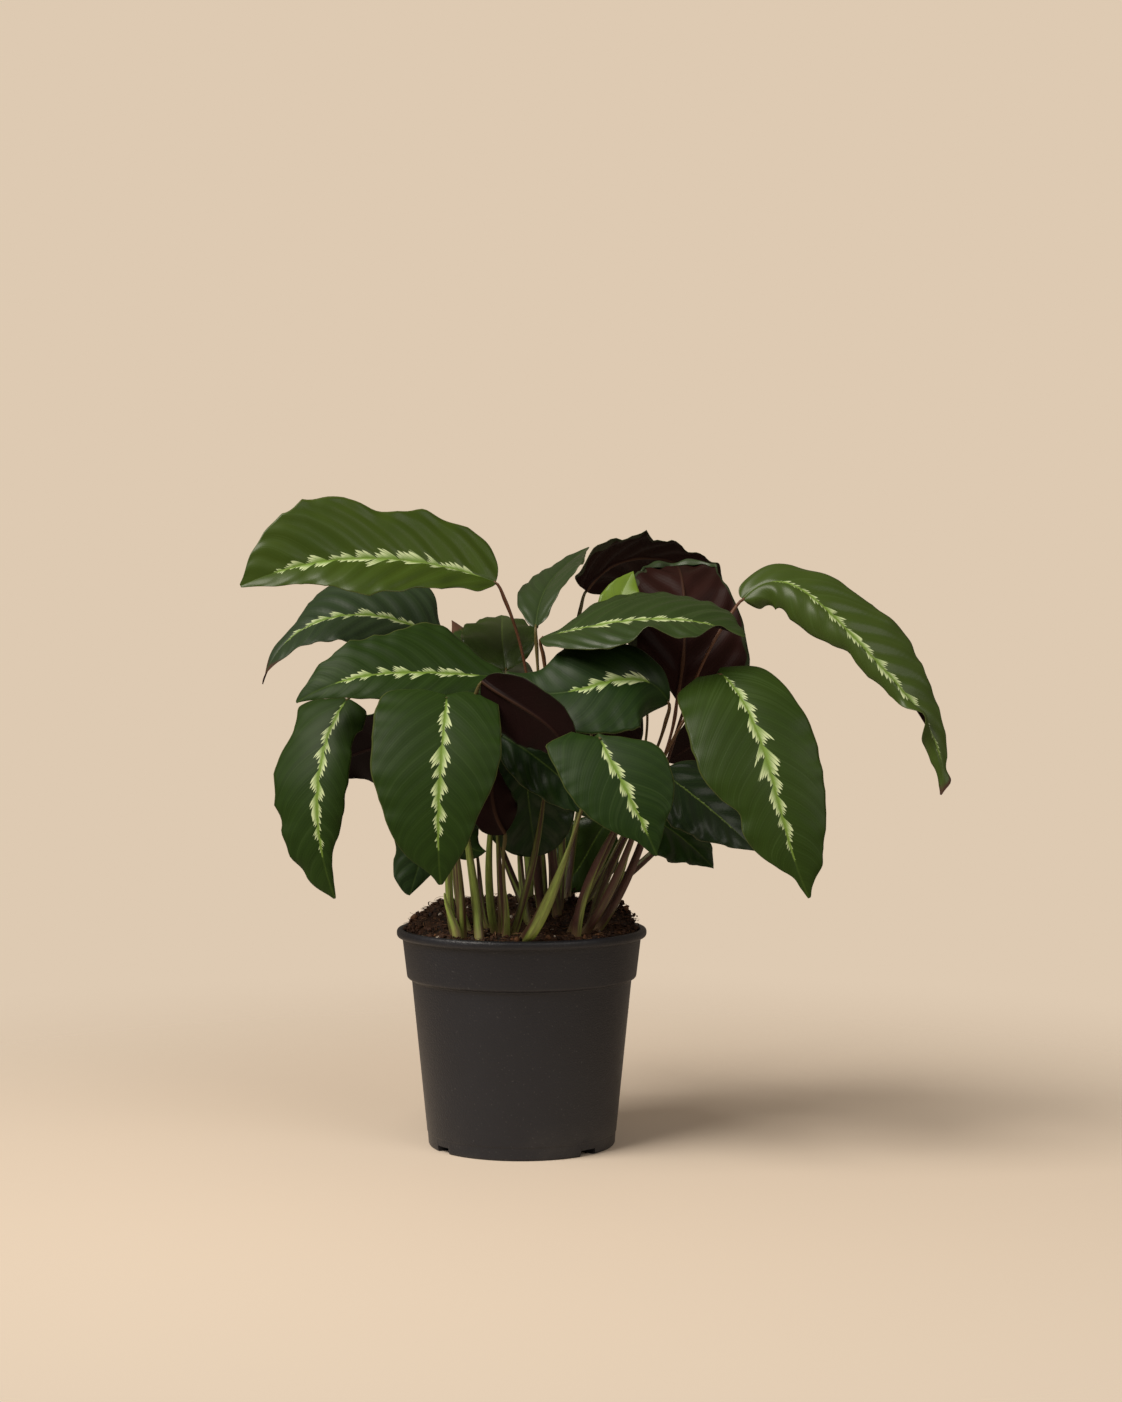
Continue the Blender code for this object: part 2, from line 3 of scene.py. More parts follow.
import bpy
import numpy as np
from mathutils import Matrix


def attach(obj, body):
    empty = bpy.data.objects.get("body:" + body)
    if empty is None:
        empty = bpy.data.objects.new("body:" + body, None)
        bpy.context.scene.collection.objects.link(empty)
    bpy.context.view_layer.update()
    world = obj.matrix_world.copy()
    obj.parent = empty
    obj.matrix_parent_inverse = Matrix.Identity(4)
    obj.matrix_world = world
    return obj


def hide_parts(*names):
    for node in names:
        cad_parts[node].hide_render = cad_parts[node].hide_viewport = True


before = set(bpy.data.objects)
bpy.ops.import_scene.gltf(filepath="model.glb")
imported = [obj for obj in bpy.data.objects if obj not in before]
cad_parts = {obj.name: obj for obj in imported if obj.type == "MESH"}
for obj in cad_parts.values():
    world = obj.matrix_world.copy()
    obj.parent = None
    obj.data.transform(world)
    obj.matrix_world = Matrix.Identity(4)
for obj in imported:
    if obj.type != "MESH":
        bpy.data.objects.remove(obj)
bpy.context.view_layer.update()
print("frame loaded")

mm = 0.001  # every size below is in millimetres, and the meshes are in metres


def operator(operation, swapped=False):
    # what one of Python's operators does with a signal: it adds a Math node
    def method(self, other):
        return self.math(operation, *((other, self) if swapped else (self, other)))

    return method


class Signal:
    # one output of a node, which can be reckoned with like a number
    def __init__(self, finish, socket):
        self.finish, self.socket = finish, socket

    def math(self, operation, *values):
        return self.finish.node("ShaderNodeMath", dict(enumerate(values)), operation=operation)

    def __abs__(self):
        return self.math("ABSOLUTE", self)

    __add__ = __radd__ = operator("ADD")
    __sub__, __rsub__ = operator("SUBTRACT"), operator("SUBTRACT", True)
    __mul__ = __rmul__ = operator("MULTIPLY")
    __truediv__ = operator("DIVIDE")
    __pow__ = operator("POWER")
    __gt__ = operator("GREATER_THAN")


class Finish:
    # a material under the piece's own name, and its shader
    def __init__(self, name, **constants):
        self.material = bpy.data.materials.new(name)
        self.material.use_nodes = True
        self.tree = self.material.node_tree
        self.shader = self.tree.nodes["Principled BSDF"]
        for socket, value in constants.items():
            self.shader.inputs[socket.replace("_", " ")].default_value = value

    def node(self, kind, inputs, output=0, **settings):
        made = self.tree.nodes.new(kind)
        for name, value in settings.items():
            setattr(made, name, value)
        for socket, value in inputs.items():
            self.feed(made.inputs[socket], value)
        return Signal(self, made.outputs[output])

    def feed(self, socket, value):
        if isinstance(value, Signal):
            self.tree.links.new(value.socket, socket)
        elif isinstance(value, tuple) and len(value) == 3 and socket.type == "RGBA":
            socket.default_value = (*value, 1)
        else:
            socket.default_value = value

    def shade(self, **signals):
        for socket, value in signals.items():
            self.feed(self.shader.inputs[socket.replace("_", " ")], value)
        return self.material

    def surface(self, colour, rough, height, depth, strength):
        # the colour and the roughness, and the height as a bump
        inputs = {"Height": height, "Distance": depth, "Strength": strength}
        bump = self.node("ShaderNodeBump", inputs, "Normal")
        return self.shade(Base_Color=colour, Roughness=rough, Normal=bump)

    def attribute(self, name):
        return self.split(self.node("ShaderNodeAttribute", {}, "Vector", attribute_name=name))

    def split(self, vector):
        parts = self.node("ShaderNodeSeparateXYZ", {0: vector}).socket.node.outputs
        return [Signal(self, part) for part in parts]

    def join(self, x, y, z):
        return self.node("ShaderNodeCombineXYZ", {0: x, 1: y, 2: z})

    def place(self):
        return self.node("ShaderNodeTexCoord", {}, "Object")

    def noise(self, vector, scale, detail, rough=0.5):
        inputs = {"Vector": vector, "Scale": scale, "Detail": detail, "Roughness": rough}
        return self.node("ShaderNodeTexNoise", inputs)

    def noiseAlong(self, run, detail):
        # noise on one number, so it stays the same across a stroke
        inputs = {"W": run, "Scale": 1.0, "Detail": detail}
        return self.node("ShaderNodeTexNoise", inputs, noise_dimensions="1D")

    def rise(self, value, low, high):
        # 0 below low, 1 above high and a soft step between them
        inputs = {"Value": value, "From Min": low, "From Max": high}
        return self.node("ShaderNodeMapRange", inputs, interpolation_type="SMOOTHSTEP")

    def mix(self, share, first, second):
        inputs = {0: share, 6: first, 7: second}
        return self.node("ShaderNodeMix", inputs, 2, data_type="RGBA")

    def layers(self, colour, *over):
        # colours over one another, each with the share it covers
        for share, other in over:
            colour = self.mix(share, colour, other)
        return colour


def sawtooth(value):
    # rises from 0 to 1 over every unit and drops back
    return value.math("FRACT", value)


def sine(value):
    # swings between -1 and 1 and back over 2 pi
    return value.math("SINE", value)


def circled(radius, angle, height):
    # points at that radius, angle and height around the upright axis
    places = radius * np.cos(angle), radius * np.sin(angle), height
    return np.stack(np.broadcast_arrays(*places), axis=-1)


def unit(vectors):
    # the same directions with length 1
    return vectors / np.maximum(np.linalg.norm(vectors, axis=-1, keepdims=True), 1e-12)


def ramp(value, start, end):
    # 0 before start, 1 past end and straight in between
    return np.clip((value - start) / (end - start), 0, 1)


def hill(value, middle, width):
    # exp(-((value - middle) / width)2)
    return np.exp(-(((value - middle) / width) ** 2))


def hermite(t, a, leaving, b, arriving):
    # (2t3 - 3t2 + 1) a + (t3 - 2t2 + t) leaving + (3t2 - 2t3) b + (t3 - t2) arriving
    first = (2 * t**3 - 3 * t**2 + 1) * a + (t**3 - 2 * t**2 + t) * leaving
    return first + (3 * t**2 - 2 * t**3) * b + (t**3 - t**2) * arriving


def turns(count):
    # angles all around
    return np.linspace(0, 2 * np.pi, count, endpoint=False)


def runAlong(points):
    # the length of a line up to each of its points
    return np.concatenate([[0], np.cumsum(np.linalg.norm(np.diff(points, axis=0), axis=1))])


def curveThrough(points, shares):
    # the polynomial through the points by their chord lengths, read at shares of its length:
    # gives the places, the directions there and the length
    points = np.array(points, float)
    chord = runAlong(points)
    powers = np.polyfit(chord / chord[-1], points, len(points) - 1)
    t = np.linspace(0, 1, 400)[:, None]
    fine = sum(power * t ** (len(points) - 1 - i) for i, power in enumerate(powers))
    return alongLine(fine, shares)


def alongLine(fine, shares):
    # places and directions at shares of a line's length
    run = runAlong(fine)
    places, along = (
        np.stack([np.interp(shares * run[-1], run, column) for column in values.T], axis=-1)
        for values in (fine, np.gradient(fine, axis=0))
    )
    return places, unit(along), run[-1]


def ringFaces(rows, wide):
    # quads between closed rings, and fans of triangles to a pole before the first and after the
    # last ring; the poles are the last two vertices
    j = np.arange(wide)
    n = (j + 1) % wide
    i = np.arange(rows - 1)[:, None] * wide
    quads = np.stack([i + j, i + n, i + wide + n, i + wide + j], axis=-1)
    last = (rows - 1) * wide
    first = np.stack([np.full(wide, rows * wide), n, j], axis=-1)
    end = np.stack([np.full(wide, rows * wide + 1), last + j, last + n], axis=-1)
    return quads.reshape(-1, 4).tolist() + first.tolist() + end.tolist()


def withPoles(grid):
    # a grid's values row by row, and those of the pole at each end
    return np.concatenate([grid.reshape(-1, 3), grid[0, :1], grid[-1, :1]])


def shifted(faces, steps):
    # the same faces again for each copy of their vertices, which begins at that step
    return [[corner + step for corner in face] for step in steps for face in faces]


def makePiece(name, points, faces, materials, slots=None, attributes=None, sharp=None):
    # a mesh in metres from points in millimetres, with its materials and its own attributes
    mesh = bpy.data.meshes.new(name)
    mesh.from_pydata((np.asarray(points) * mm).tolist(), [], faces)
    for material in materials:
        mesh.materials.append(material)
    if slots is not None:
        mesh.polygons.foreach_set("material_index", np.asarray(slots, np.int32))
    for label, values in (attributes or {}).items():
        made = mesh.attributes.new(label, "FLOAT_VECTOR", "POINT")
        made.data.foreach_set("vector", np.asarray(values, np.float32).ravel())
    mesh.shade_smooth()
    if sharp is not None:
        mesh.set_sharp_from_angle(angle=math.radians(sharp))
    piece = bpy.data.objects.new(name, mesh)
    bpy.context.scene.collection.objects.link(piece)
    return piece


def settle(piece, slot, *nodes):
    # every piece rides on the plant's one body and stands for its CAD nodes
    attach(piece, "root")
    if nodes:
        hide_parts(*nodes)


def lattice(x, y, size, seed):
    # value noise: random heights on a square lattice, blended smoothly between its corners
    heights = np.random.default_rng(seed).random((257, 257))
    u, v = x / size % 256, y / size % 256
    i, j = np.floor(u).astype(int), np.floor(v).astype(int)
    a, b = u - i, v - j
    a, b = a * a * (3 - 2 * a), b * b * (3 - 2 * b)
    low = heights[i, j] * (1 - a) + heights[i + 1, j] * a
    high = heights[i, j + 1] * (1 - a) + heights[i + 1, j + 1] * a
    return low * (1 - b) + high * b - 0.5


# rib and stalk are points on the midrib and on the stalk, faces the way the blade faces at its two
# ends, halves its half widths, outline the powers of their swelling, and thick the stalk's radius
# at its foot and its top. fold and droop are the degrees by which the halves rise and bend down,
# one value where both are the same, and wave is the height, number and phase of their waves.
# left and right are the (percent of the length, width) points of a margin with its own outline.
# tone runs from 0, dark, to 1, fresh green, and is partly painted light: fresh on leaves in full
# light or lit through from behind, dark on leaves deep in shade. grey, gloss and red are shares
# of a greyish cast, partly a painted sheen, of wax and of pink below, and redStalk is how far the
# stalk has turned from green to reddish brown.
# feather is the greatest reach of the pale strokes, and start and end are where they begin and
# stop. dry is the share from which the tip is brown, curl the share from which it turns and how
# far, in degrees, and lobe is how far each side of the base reaches back beside the stalk.
# pleat is the height of the folds along the side veins, pleatRun their distance and scallop how
# far the margin is cut back between them. crimp is the height and number of the small waves along
# the margin and rim the width of its pale edge below. bumps are (side, share, height, width)
# single waves of the margin and rolls (side, share, degrees, width) turns of it. hem is the share
# from which the margin folds over the underside, and the fold's width, radius and degrees.
plainLeaf = dict(
    outline=((0.62, 1.08), (0.62, 1.08)), thick=(2.2, 1.2), fold=8, droop=25, wave=(1.6, 4, 0),
    slot="leaf", toneAndLight=0.2, greyAndSheen=0, gloss=0.3, red=0.3, redStalk=0.3, feather=4, start=0.03,
    end=0.86, dry=1.2, curl=(0.95, 0), lobe=(0, 0), pleat=0.14, pleatRun=13, scallop=0.6,
    crimp=(0.5, 9), rim=0, bumps=(), rolls=(), hem=(), left=(), right=(),
)
leaves = dict(
    top_left=dict(
        rib=((-14, -8, 314), (-45, -14, 323), (-99, -26, 326), (-153, -34, 311)),
        stalk=((11, 0), (7, 0, 192), (4, -2, 254)), faces=((0, -0.6, 0.8), (-0.1, -0.95, 0.4)),
        halves=(30, 35), fold=(20, 26), droop=(30, 10), wave=(0.5, 5, 0.3), slot="leaf_light",
        toneAndLight=0.82, redStalk=0.9, feather=6.8, start=0.06, end=0.87, pleat=0.75, pleatRun=18,
        scallop=3.2,
        left=(
            (3, 10), (7, 16), (15, 18.5), (25, 23), (35, 25), (45, 29.5), (55, 27.5), (65, 20.5),
            (75, 14), (85, 10.5), (93, 5),
        ),
        right=(
            (2, 14), (6, 22.5), (12, 27.5), (20, 29.5), (30, 33), (40, 28.5), (47, 30.5), (55, 35),
            (65, 38.5), (70, 37.5), (80, 28.5), (90, 17.5), (96, 6.5),
        ),
    ),
    left_behind=dict(
        rib=((-44, 30, 278), (-70, 30, 293), (-112, 26, 294), (-147, 14, 257)),
        stalk=((12, 14), (4, 24, 202), (-19, 28, 254)), faces=((0, -0.7, 0.7), (-0.5, -0.5, 0.7)),
        halves=(27, 32), outline=((0.6, 1.1), (0.5, 1.7)), fold=(15, 20), droop=30,
        wave=(0.8, 4, 1), toneAndLight=0.12, greyAndSheen=0.8, gloss=0.1, feather=4.5, start=0.1, end=0.8, dry=0.88,
        curl=(0.86, 70), pleat=0.5, scallop=1,
        right=(
            (5, 6), (10, 14), (15, 25), (20, 31), (35, 32), (45, 29), (55, 27.5), (62, 18), (70, 8),
            (80, 6), (88, 4), (94, 2),
        ),
    ),
    left_middle=dict(
        rib=((-8, -50, 262), (-43, -62, 264), (-78, -70, 263), (-119, -66, 248)),
        stalk=((-14, -32), (-17, -36, 171), (-11, -38, 227)),
        faces=((0, -0.75, 0.66), (-0.2, -0.85, 0.5)), halves=(19, 34), fold=(15, 18),
        droop=(40, 25), wave=(0.6, 4, 0), toneAndLight=0.17, gloss=0, feather=5, start=0.12, end=0.8,
        pleat=0.45, scallop=1.2,
        right=(
            (3, 6), (10, 13), (20, 25), (30, 33), (36, 33), (50, 26), (60, 24.5), (70, 23),
            (80, 16), (86, 14), (90, 9), (96, 4.5),
        ),
    ),
    front_left=dict(
        rib=((-38, -82, 252), (-39, -96, 235), (-41, -108, 199), (-40, -108, 155)),
        stalk=((-32, -44), (-34, -56, 164), (-39, -70, 223)), faces=(0, -1, 0.3), halves=(33, 38),
        droop=18, wave=(0.3, 4, 0), gloss=0, feather=5.9, start=0.02, end=0.83, lobe=(5, 5),
        pleat=0.1,
        left=(
            (1, 20), (4, 26), (10, 28.5), (20, 30), (35, 31), (50, 27.5), (65, 21), (80, 15),
            (90, 8.5), (96, 4),
        ),
        right=(
            (1, 26), (4, 34), (10, 36.5), (30, 37), (45, 36), (60, 30.5), (75, 24), (85, 16.5),
            (92, 7.5),
        ),
    ),
    left_hanging=dict(
        rib=((-94, -40, 250), (-105, -54, 225), (-108, -62, 185), (-99, -60, 143)),
        stalk=((-36, -38), (-41, -30, 194), (-61, -26, 254)),
        faces=((-0.45, -1, 0.2), (-0.3, -1, 0.1)), halves=(17, 27), thick=(1.9, 1.2), fold=(10, 6),
        droop=(50, 24), wave=(0.6, 4, 0.5), gloss=0, feather=5.5, start=0.02, end=0.8, pleatRun=18,
        scallop=2.6,
        left=((1, 12), (4, 16.5), (20, 16), (50, 15.8), (62, 14), (72, 10), (80, 5.5), (90, 3)),
        right=(
            (2, 9), (5, 22), (8, 26), (15, 24.5), (22, 23), (30, 27.5), (50, 28.5), (60, 25.5),
            (70, 21.5), (77, 19.5), (85, 14), (92, 9), (97, 3.5),
        ),
    ),
    left_inner=dict(
        rib=((-46, -4, 230), (-68, -2, 225), (-91, 2, 219), (-115, 8, 206)),
        stalk=((-29, -30), (-37, -16, 160), (-40, -14, 211)), faces=(0, 0.9, 0.6), halves=(24, 30),
        thick=(2, 1.2), fold=5, droop=10, wave=(2, 4, 0.5), slot="leaf_turned", toneAndLight=0.1, red=0,
    ),
    center_top=dict(
        rib=((11, -58, 283), (44, -66, 290), (87, -74, 292), (119, -78, 283)),
        stalk=((-4, -36), (8, -42, 167), (15, -46, 228)),
        faces=((0, -0.5, 0.87), (0.1, -0.5, 0.85)), halves=(30, 26), droop=(24, 30),
        wave=(0.4, 4, 0.6), toneAndLight=0.3, greyAndSheen=0.2, gloss=0.4, redStalk=0.8, feather=4.8, start=0.08,
        end=0.85, pleat=0.7, scallop=1.8, bumps=((1, 0.56, 5, 0.06), (1, 0.87, 3, 0.06)),
        left=(
            (5, 2.5), (10, 6), (15, 15), (20, 24), (30, 32), (40, 37), (50, 35), (60, 34), (70, 30),
            (80, 26), (88, 22.5), (94, 13),
        ),
        right=(
            (3, 9), (10, 13), (20, 19.5), (30, 22.5), (45, 21.5), (55, 14), (62, 15), (70, 16.5),
            (77, 15), (85, 4), (93, 2),
        ),
    ),
    right_arching=dict(
        rib=(
            (121, -32, 304), (144, -38, 313), (186, -56, 276), (209, -62, 249), (225, -66, 214),
            (224, -68, 199),
        ),
        stalk=((42, -26), (66, -34, 171), (93, -38, 255)),
        faces=((0, -0.6, 0.8), (0.45, -0.8, 0.4)), halves=(28, 18), fold=(12, 4), droop=(22, 100),
        wave=(0.6, 5, 0), slot="leaf_light", toneAndLight=1, greyAndSheen=0.3, redStalk=0.9, feather=3.8, start=0.1,
        end=0.9, dry=0.925, curl=(0.9, 50), pleat=0.75, pleatRun=16, scallop=2.6,
        rolls=((1, 0.75, 105, 0.06),),
        left=(
            (1.5, 7), (5, 11), (10, 15), (20, 19), (30, 24), (40, 27), (50, 29), (60, 24.5),
            (70, 17), (80, 11), (88, 5), (92, 3), (95, 5.5), (97.5, 2.5),
        ),
        right=(
            (1.5, 10), (5, 12.5), (10, 14.5), (20, 16.5), (33, 15.5), (40, 12), (45, 7.5),
            (50, 9.5), (58, 8.5), (66, 7), (75, 8), (85, 6.5), (93, 4),
        ),
    ),
    front_right=dict(
        rib=((107, -66, 264), (119, -84, 247), (134, -104, 199), (150, -108, 148)),
        stalk=((34, -36), (59, -48, 171), (77, -58, 218)), faces=((0.1, -1, 0.3), (0, -1, 0.2)),
        halves=(29, 36), droop=20, wave=(0.3, 4, 0.7), toneAndLight=0.38, gloss=0.1, redStalk=0.75,
        feather=6.4, start=0.02, end=0.85, lobe=(4, 8), pleat=0.1,
        left=(
            (2, 7), (6, 16), (12, 22), (25, 26), (38, 28.5), (50, 27.5), (62, 25.5), (75, 21),
            (85, 15.5), (90, 13), (94, 7),
        ),
        right=(
            (1, 22), (4, 28), (10, 31), (20, 34), (35, 36), (48, 34), (56, 28), (62, 21.5),
            (70, 22), (78, 17.5), (85, 10), (90, 4), (95, 2),
        ),
    ),
    front_small=dict(
        rib=((42, -100, 231), (49, -110, 217), (60, -118, 195), (71, -120, 171)),
        stalk=((3, -60), (27, -80, 174), (39, -88, 216)), faces=(0, -1, 0.35), halves=(27, 31),
        thick=(3.2, 1.3), droop=15, wave=(0.2, 3, 0), toneAndLight=0.1, gloss=0, redStalk=0.25, feather=5.2,
        end=0.84, lobe=(3, 10), pleat=0.06,
        left=(
            (3, 3), (6, 7), (10, 12), (15, 17), (20, 22), (28, 25.5), (45, 26), (60, 23.5),
            (70, 19), (80, 11.5), (90, 6), (96, 2),
        ),
        right=(
            (1, 25), (4, 28), (10, 28), (30, 28), (45, 26), (60, 21.5), (75, 13.5), (85, 6.5),
            (92, 4),
        ),
    ),
    center=dict(
        rib=((80, -60, 248), (61, -68, 261), (30, -72, 255), (-7, -64, 265)),
        stalk=((30, -44), (47, -50, 173), (72, -56, 220)), faces=(0, -0.85, 0.5), halves=(32, 28),
        outline=((0.62, 1.08), (1.1, 1.1)), fold=(14, 12), wave=(0.6, 4, 0), toneAndLight=0.05, gloss=0.1,
        redStalk=0.6, feather=6.5, start=0.16, end=0.62,
    ),
    center_turned=dict(
        rib=((-19, -84, 260), (-4, -90, 250), (14, -92, 238), (27, -88, 220)),
        stalk=((-22, -48), (-28, -46, 169), (-31, -64, 222)), faces=(0.35, 0.9, 0.3),
        halves=(20, 16), outline=((0.5, 0.6), (0.5, 0.6)), fold=5, droop=15, wave=(1, 3, 0),
        slot="leaf_turned", toneAndLight=0.1, red=0.15, pleat=0.05, scallop=0.3,
    ),
    back_crest=dict(
        rib=((36, 20, 310), (56, 26, 327), (84, 38, 328), (115, 48, 315)),
        stalk=((21, 2), (23, 6, 192), (26, 12, 260)), faces=(-0.1, 0.3, 0.95), halves=(26, 27),
        fold=(0, 20), droop=(50, 10), wave=(0.8, 5, 0), slot="leaf_turned", red=0.45, pleat=1.1,
        pleatRun=17, scallop=4.5, crimp=(0.5, 12), rim=1.8,
        left=((5, 12), (20, 22), (50, 27), (80, 20), (93, 10)),
        right=(
            (1.5, 18), (6, 21), (12, 29), (18, 31.5), (25, 26.5), (32, 27.5), (38, 25.5),
            (48, 17.5), (58, 17), (68, 12.5), (75, 14), (82, 11.5), (90, 13.5), (95, 7.5),
        ),
    ),
    back_upright=dict(
        rib=((86, -20, 249), (90, -22, 282), (90, -12, 309), (87, 18, 324)),
        stalk=((38, -24), (57, -24, 172), (77, -22, 213)), faces=((0, 1, 0), (0, 0.3, -0.95)),
        halves=(34, 32), fold=6, droop=12, wave=(0.8, 4, 0.8), slot="leaf_turned", red=0.6,
        redStalk=0.9, pleat=1.3, pleatRun=20, scallop=3, crimp=(0.5, 10), rim=1.4,
        hem=(0.84, 3, 2.3, 235),
        left=(
            (2, 18), (6, 25), (10, 33), (20, 37.5), (30, 36), (45, 32), (60, 27), (75, 22),
            (88, 21), (95, 16),
        ),
        right=(
            (3, 4), (10, 12), (15, 18), (20, 28), (30, 33), (45, 35), (60, 34), (70, 32),
            (80, 26.5), (88, 22), (95, 15),
        ),
    ),
    young_lime=dict(
        rib=((50, -28, 288), (53, -26, 301), (57, -22, 311), (62, -18, 320)),
        stalk=((27, -30), (55, -38, 184), (69, -38, 240)), faces=(-0.2, -1, 0.2), halves=(11, 13),
        thick=(1.6, 1), fold=12, droop=10, wave=(0.6, 3, 0), slot="leaf_light", toneAndLight=1.6,
        redStalk=0.6, feather=0.8, start=0.1, end=0.9,
    ),
    back_olive=dict(
        rib=((-9, 10, 265), (-11, 18, 278), (-12, 36, 289), (-13, 62, 297)),
        stalk=((17, 8), (10, 10, 192), (-4, 8, 237)), faces=(0, -0.7, 0.7), halves=(24, 20),
        fold=20, droop=30, wave=(1.8, 4, 0), toneAndLight=0.75, greyAndSheen=0.3, feather=0.6, start=0.1, end=0.9,
    ),
    back_folded=dict(
        rib=((8, -20, 289), (11, -4, 305), (19, 18, 319), (38, 46, 336)),
        stalk=((20, -8), (15, -10, 193), (10, -16, 254)), faces=(-0.3, -0.5, 0.8), halves=(12, 16),
        fold=(24, 30), droop=20, wave=(0.5, 4, 0), toneAndLight=0.25, greyAndSheen=0.4, gloss=0.6, feather=0,
        pleat=0.5, scallop=1,
        left=((3, 4.5), (10, 8), (20, 13), (35, 14.5), (50, 11.5), (70, 6.5), (85, 4.5), (94, 2)),
        right=(
            (3, 8.5), (10, 10.5), (25, 15.5), (40, 20), (50, 23), (60, 20), (75, 14), (85, 8.5),
            (94, 4),
        ),
    ),
    back_far=dict(
        rib=((-13, 36, 254), (-20, 80, 270), (-30, 105, 280), (-45, 126, 295)),
        stalk=((4, 20), (-3, 26, 191), (-11, 28, 231)), faces=(0, -0.2, 0.95), halves=(26, 26),
        droop=40, feather=3, dry=0.86,
    ),
    low_right=dict(
        rib=((79, 4, 208), (96, 0, 195), (113, -4, 181), (131, -4, 164)),
        stalk=((44, -6), (60, 8, 164), (71, 12, 195)), faces=(0.1, -0.75, 0.65), halves=(27, 24),
        fold=10, toneAndLight=0, greyAndSheen=0.25, redStalk=0.6, feather=1.1, start=0.05, end=0.8, pleat=0.5,
        scallop=1,
    ),
    low_right_under=dict(
        rib=((67, 24, 184), (80, 26, 177), (96, 26, 165), (109, 22, 152)),
        stalk=((34, 10), (47, 26, 151), (59, 33, 173)), faces=(0, -0.7, 0.7), halves=(22, 20),
        thick=(1.8, 1.2), toneAndLight=0.05, gloss=0.5, feather=0.5, pleat=0.4, scallop=2.2,
    ),
    low_back=dict(
        rib=((48, 40, 177), (40, 42, 164), (32, 44, 150), (23, 44, 139)),
        stalk=((26, 46), (36, 54, 146), (50, 56, 171)), faces=(0, -0.9, 0.4), halves=(13, 15),
        thick=(1.6, 1.2), wave=(1.2, 4, 0), toneAndLight=0.3, feather=0.8,
        left=((6, 10), (25, 17), (50, 19), (75, 15), (92, 8)),
        right=((6, 10), (25, 18), (50, 21), (75, 18), (92, 10)),
    ),
    low_center=dict(
        rib=((4, -26, 235), (3, -29, 213), (5, -28, 187), (8, -26, 163)),
        stalk=((4, -20), (-1, -12, 165), (1, -14, 218)), faces=(0, -1, 0.2), halves=(27, 27),
        thick=(1.8, 1.2), wave=(1.2, 4, 0), toneAndLight=0, feather=0.5, pleat=0.5,
        left=((5, 12), (20, 24), (40, 28), (65, 26), (85, 20), (95, 13)),
        right=((5, 12), (20, 24), (40, 28), (65, 27), (85, 22), (95, 14)),
    ),
    center_wavy=dict(
        rib=((-11, -58, 231), (10, -66, 218), (29, -70, 202), (49, -70, 184)),
        stalk=((-10, -40), (-12, -46, 168), (-13, -48, 212)), faces=(0, -0.9, 0.4), halves=(24, 17),
        thick=(2, 1.2), wave=(2.4, 4, 0), toneAndLight=0, gloss=0.1, feather=0.5, pleat=0.8, scallop=1.2,
        crimp=(0.9, 8),
    ),
    low_purple=dict(
        rib=((-8, -56, 178), (-13, -58, 188), (-15, -58, 201), (-12, -54, 215)),
        stalk=((-8, -50), (-8, -54, 142), (-9, -56, 164)), faces=(0, 1, 0), halves=(13, 13),
        thick=(1.9, 1.2), fold=12, droop=10, wave=(0.8, 3, 0), slot="leaf_turned", red=0.25,
        feather=2, rim=0.6,
    ),
    low_curled=dict(
        rib=((-41, -26, 191), (-36, -28, 179), (-28, -28, 168), (-19, -28, 166)),
        stalk=((-19, -24), (-24, -17, 160), (-31, -17, 184)), faces=(0, -0.9, 0.4), halves=(14, 14),
        thick=(1.7, 1.2), fold=20, droop=40, wave=(1.2, 3, 0), toneAndLight=0.1, feather=1,
    ),
    low_left=dict(
        rib=((-44, 26, 248), (-46, 40, 225), (-54, 48, 178), (-66, 46, 134)),
        stalk=((1, 6), (-18, 12, 180), (-36, 8, 229)), faces=(0, -1, 0.2), halves=(28, 32),
        thick=(1.9, 1.2), droop=20, wave=(1.4, 4, 0), toneAndLight=0, feather=1.2, pleat=0.4, scallop=1,
        right=(
            (5, 14), (20, 28), (40, 31), (60, 25), (75, 18), (82, 15.5), (88, 15), (93, 12.5),
            (97, 7.5),
        ),
    ),
    rear_middle=dict(
        rib=((45, 52, 259), (45, 80, 232), (48, 96, 199), (50, 100, 168)),
        stalk=((25, 20), (33, 36, 190), (42, 42, 242)), faces=(0, 1, 0.3), halves=(26, 26),
        droop=20, wave=(1.4, 4, 0), toneAndLight=0.3, feather=6,
    ),
    rear_right=dict(
        rib=((143, 50, 244), (128, 56, 238), (106, 60, 225), (82, 58, 211)),
        stalk=((40, 34), (71, 46, 155), (115, 42, 204)), faces=(0, 0.8, 0.6), halves=(26, 26),
        droop=20, wave=(1.4, 4, 0), toneAndLight=0.3, feather=6,
    ),
)

# rowStep and columnStep are the grid's steps along and across, middle and edge the thickness there,
# groove and grooveWidth the dent above the midrib, and hemRows and hemTurn the grid across a hem
# and the share of it that is bent
blade = dict(
    rowStep=1.5, columnStep=1.4, middle=0.5, edge=0.26, ribTip=0.18, groove=0.3, grooveWidth=0.9,
    narrowest=0.02, hemRows=15, hemTurn=0.7,
)


def swell(share, outline):
    # share ** start * (1 - share) ** end, scaled so that its greatest value is 1
    start, end = outline
    widest = start / (start + end)
    return (share / widest) ** start * ((1 - share) / (1 - widest)) ** end


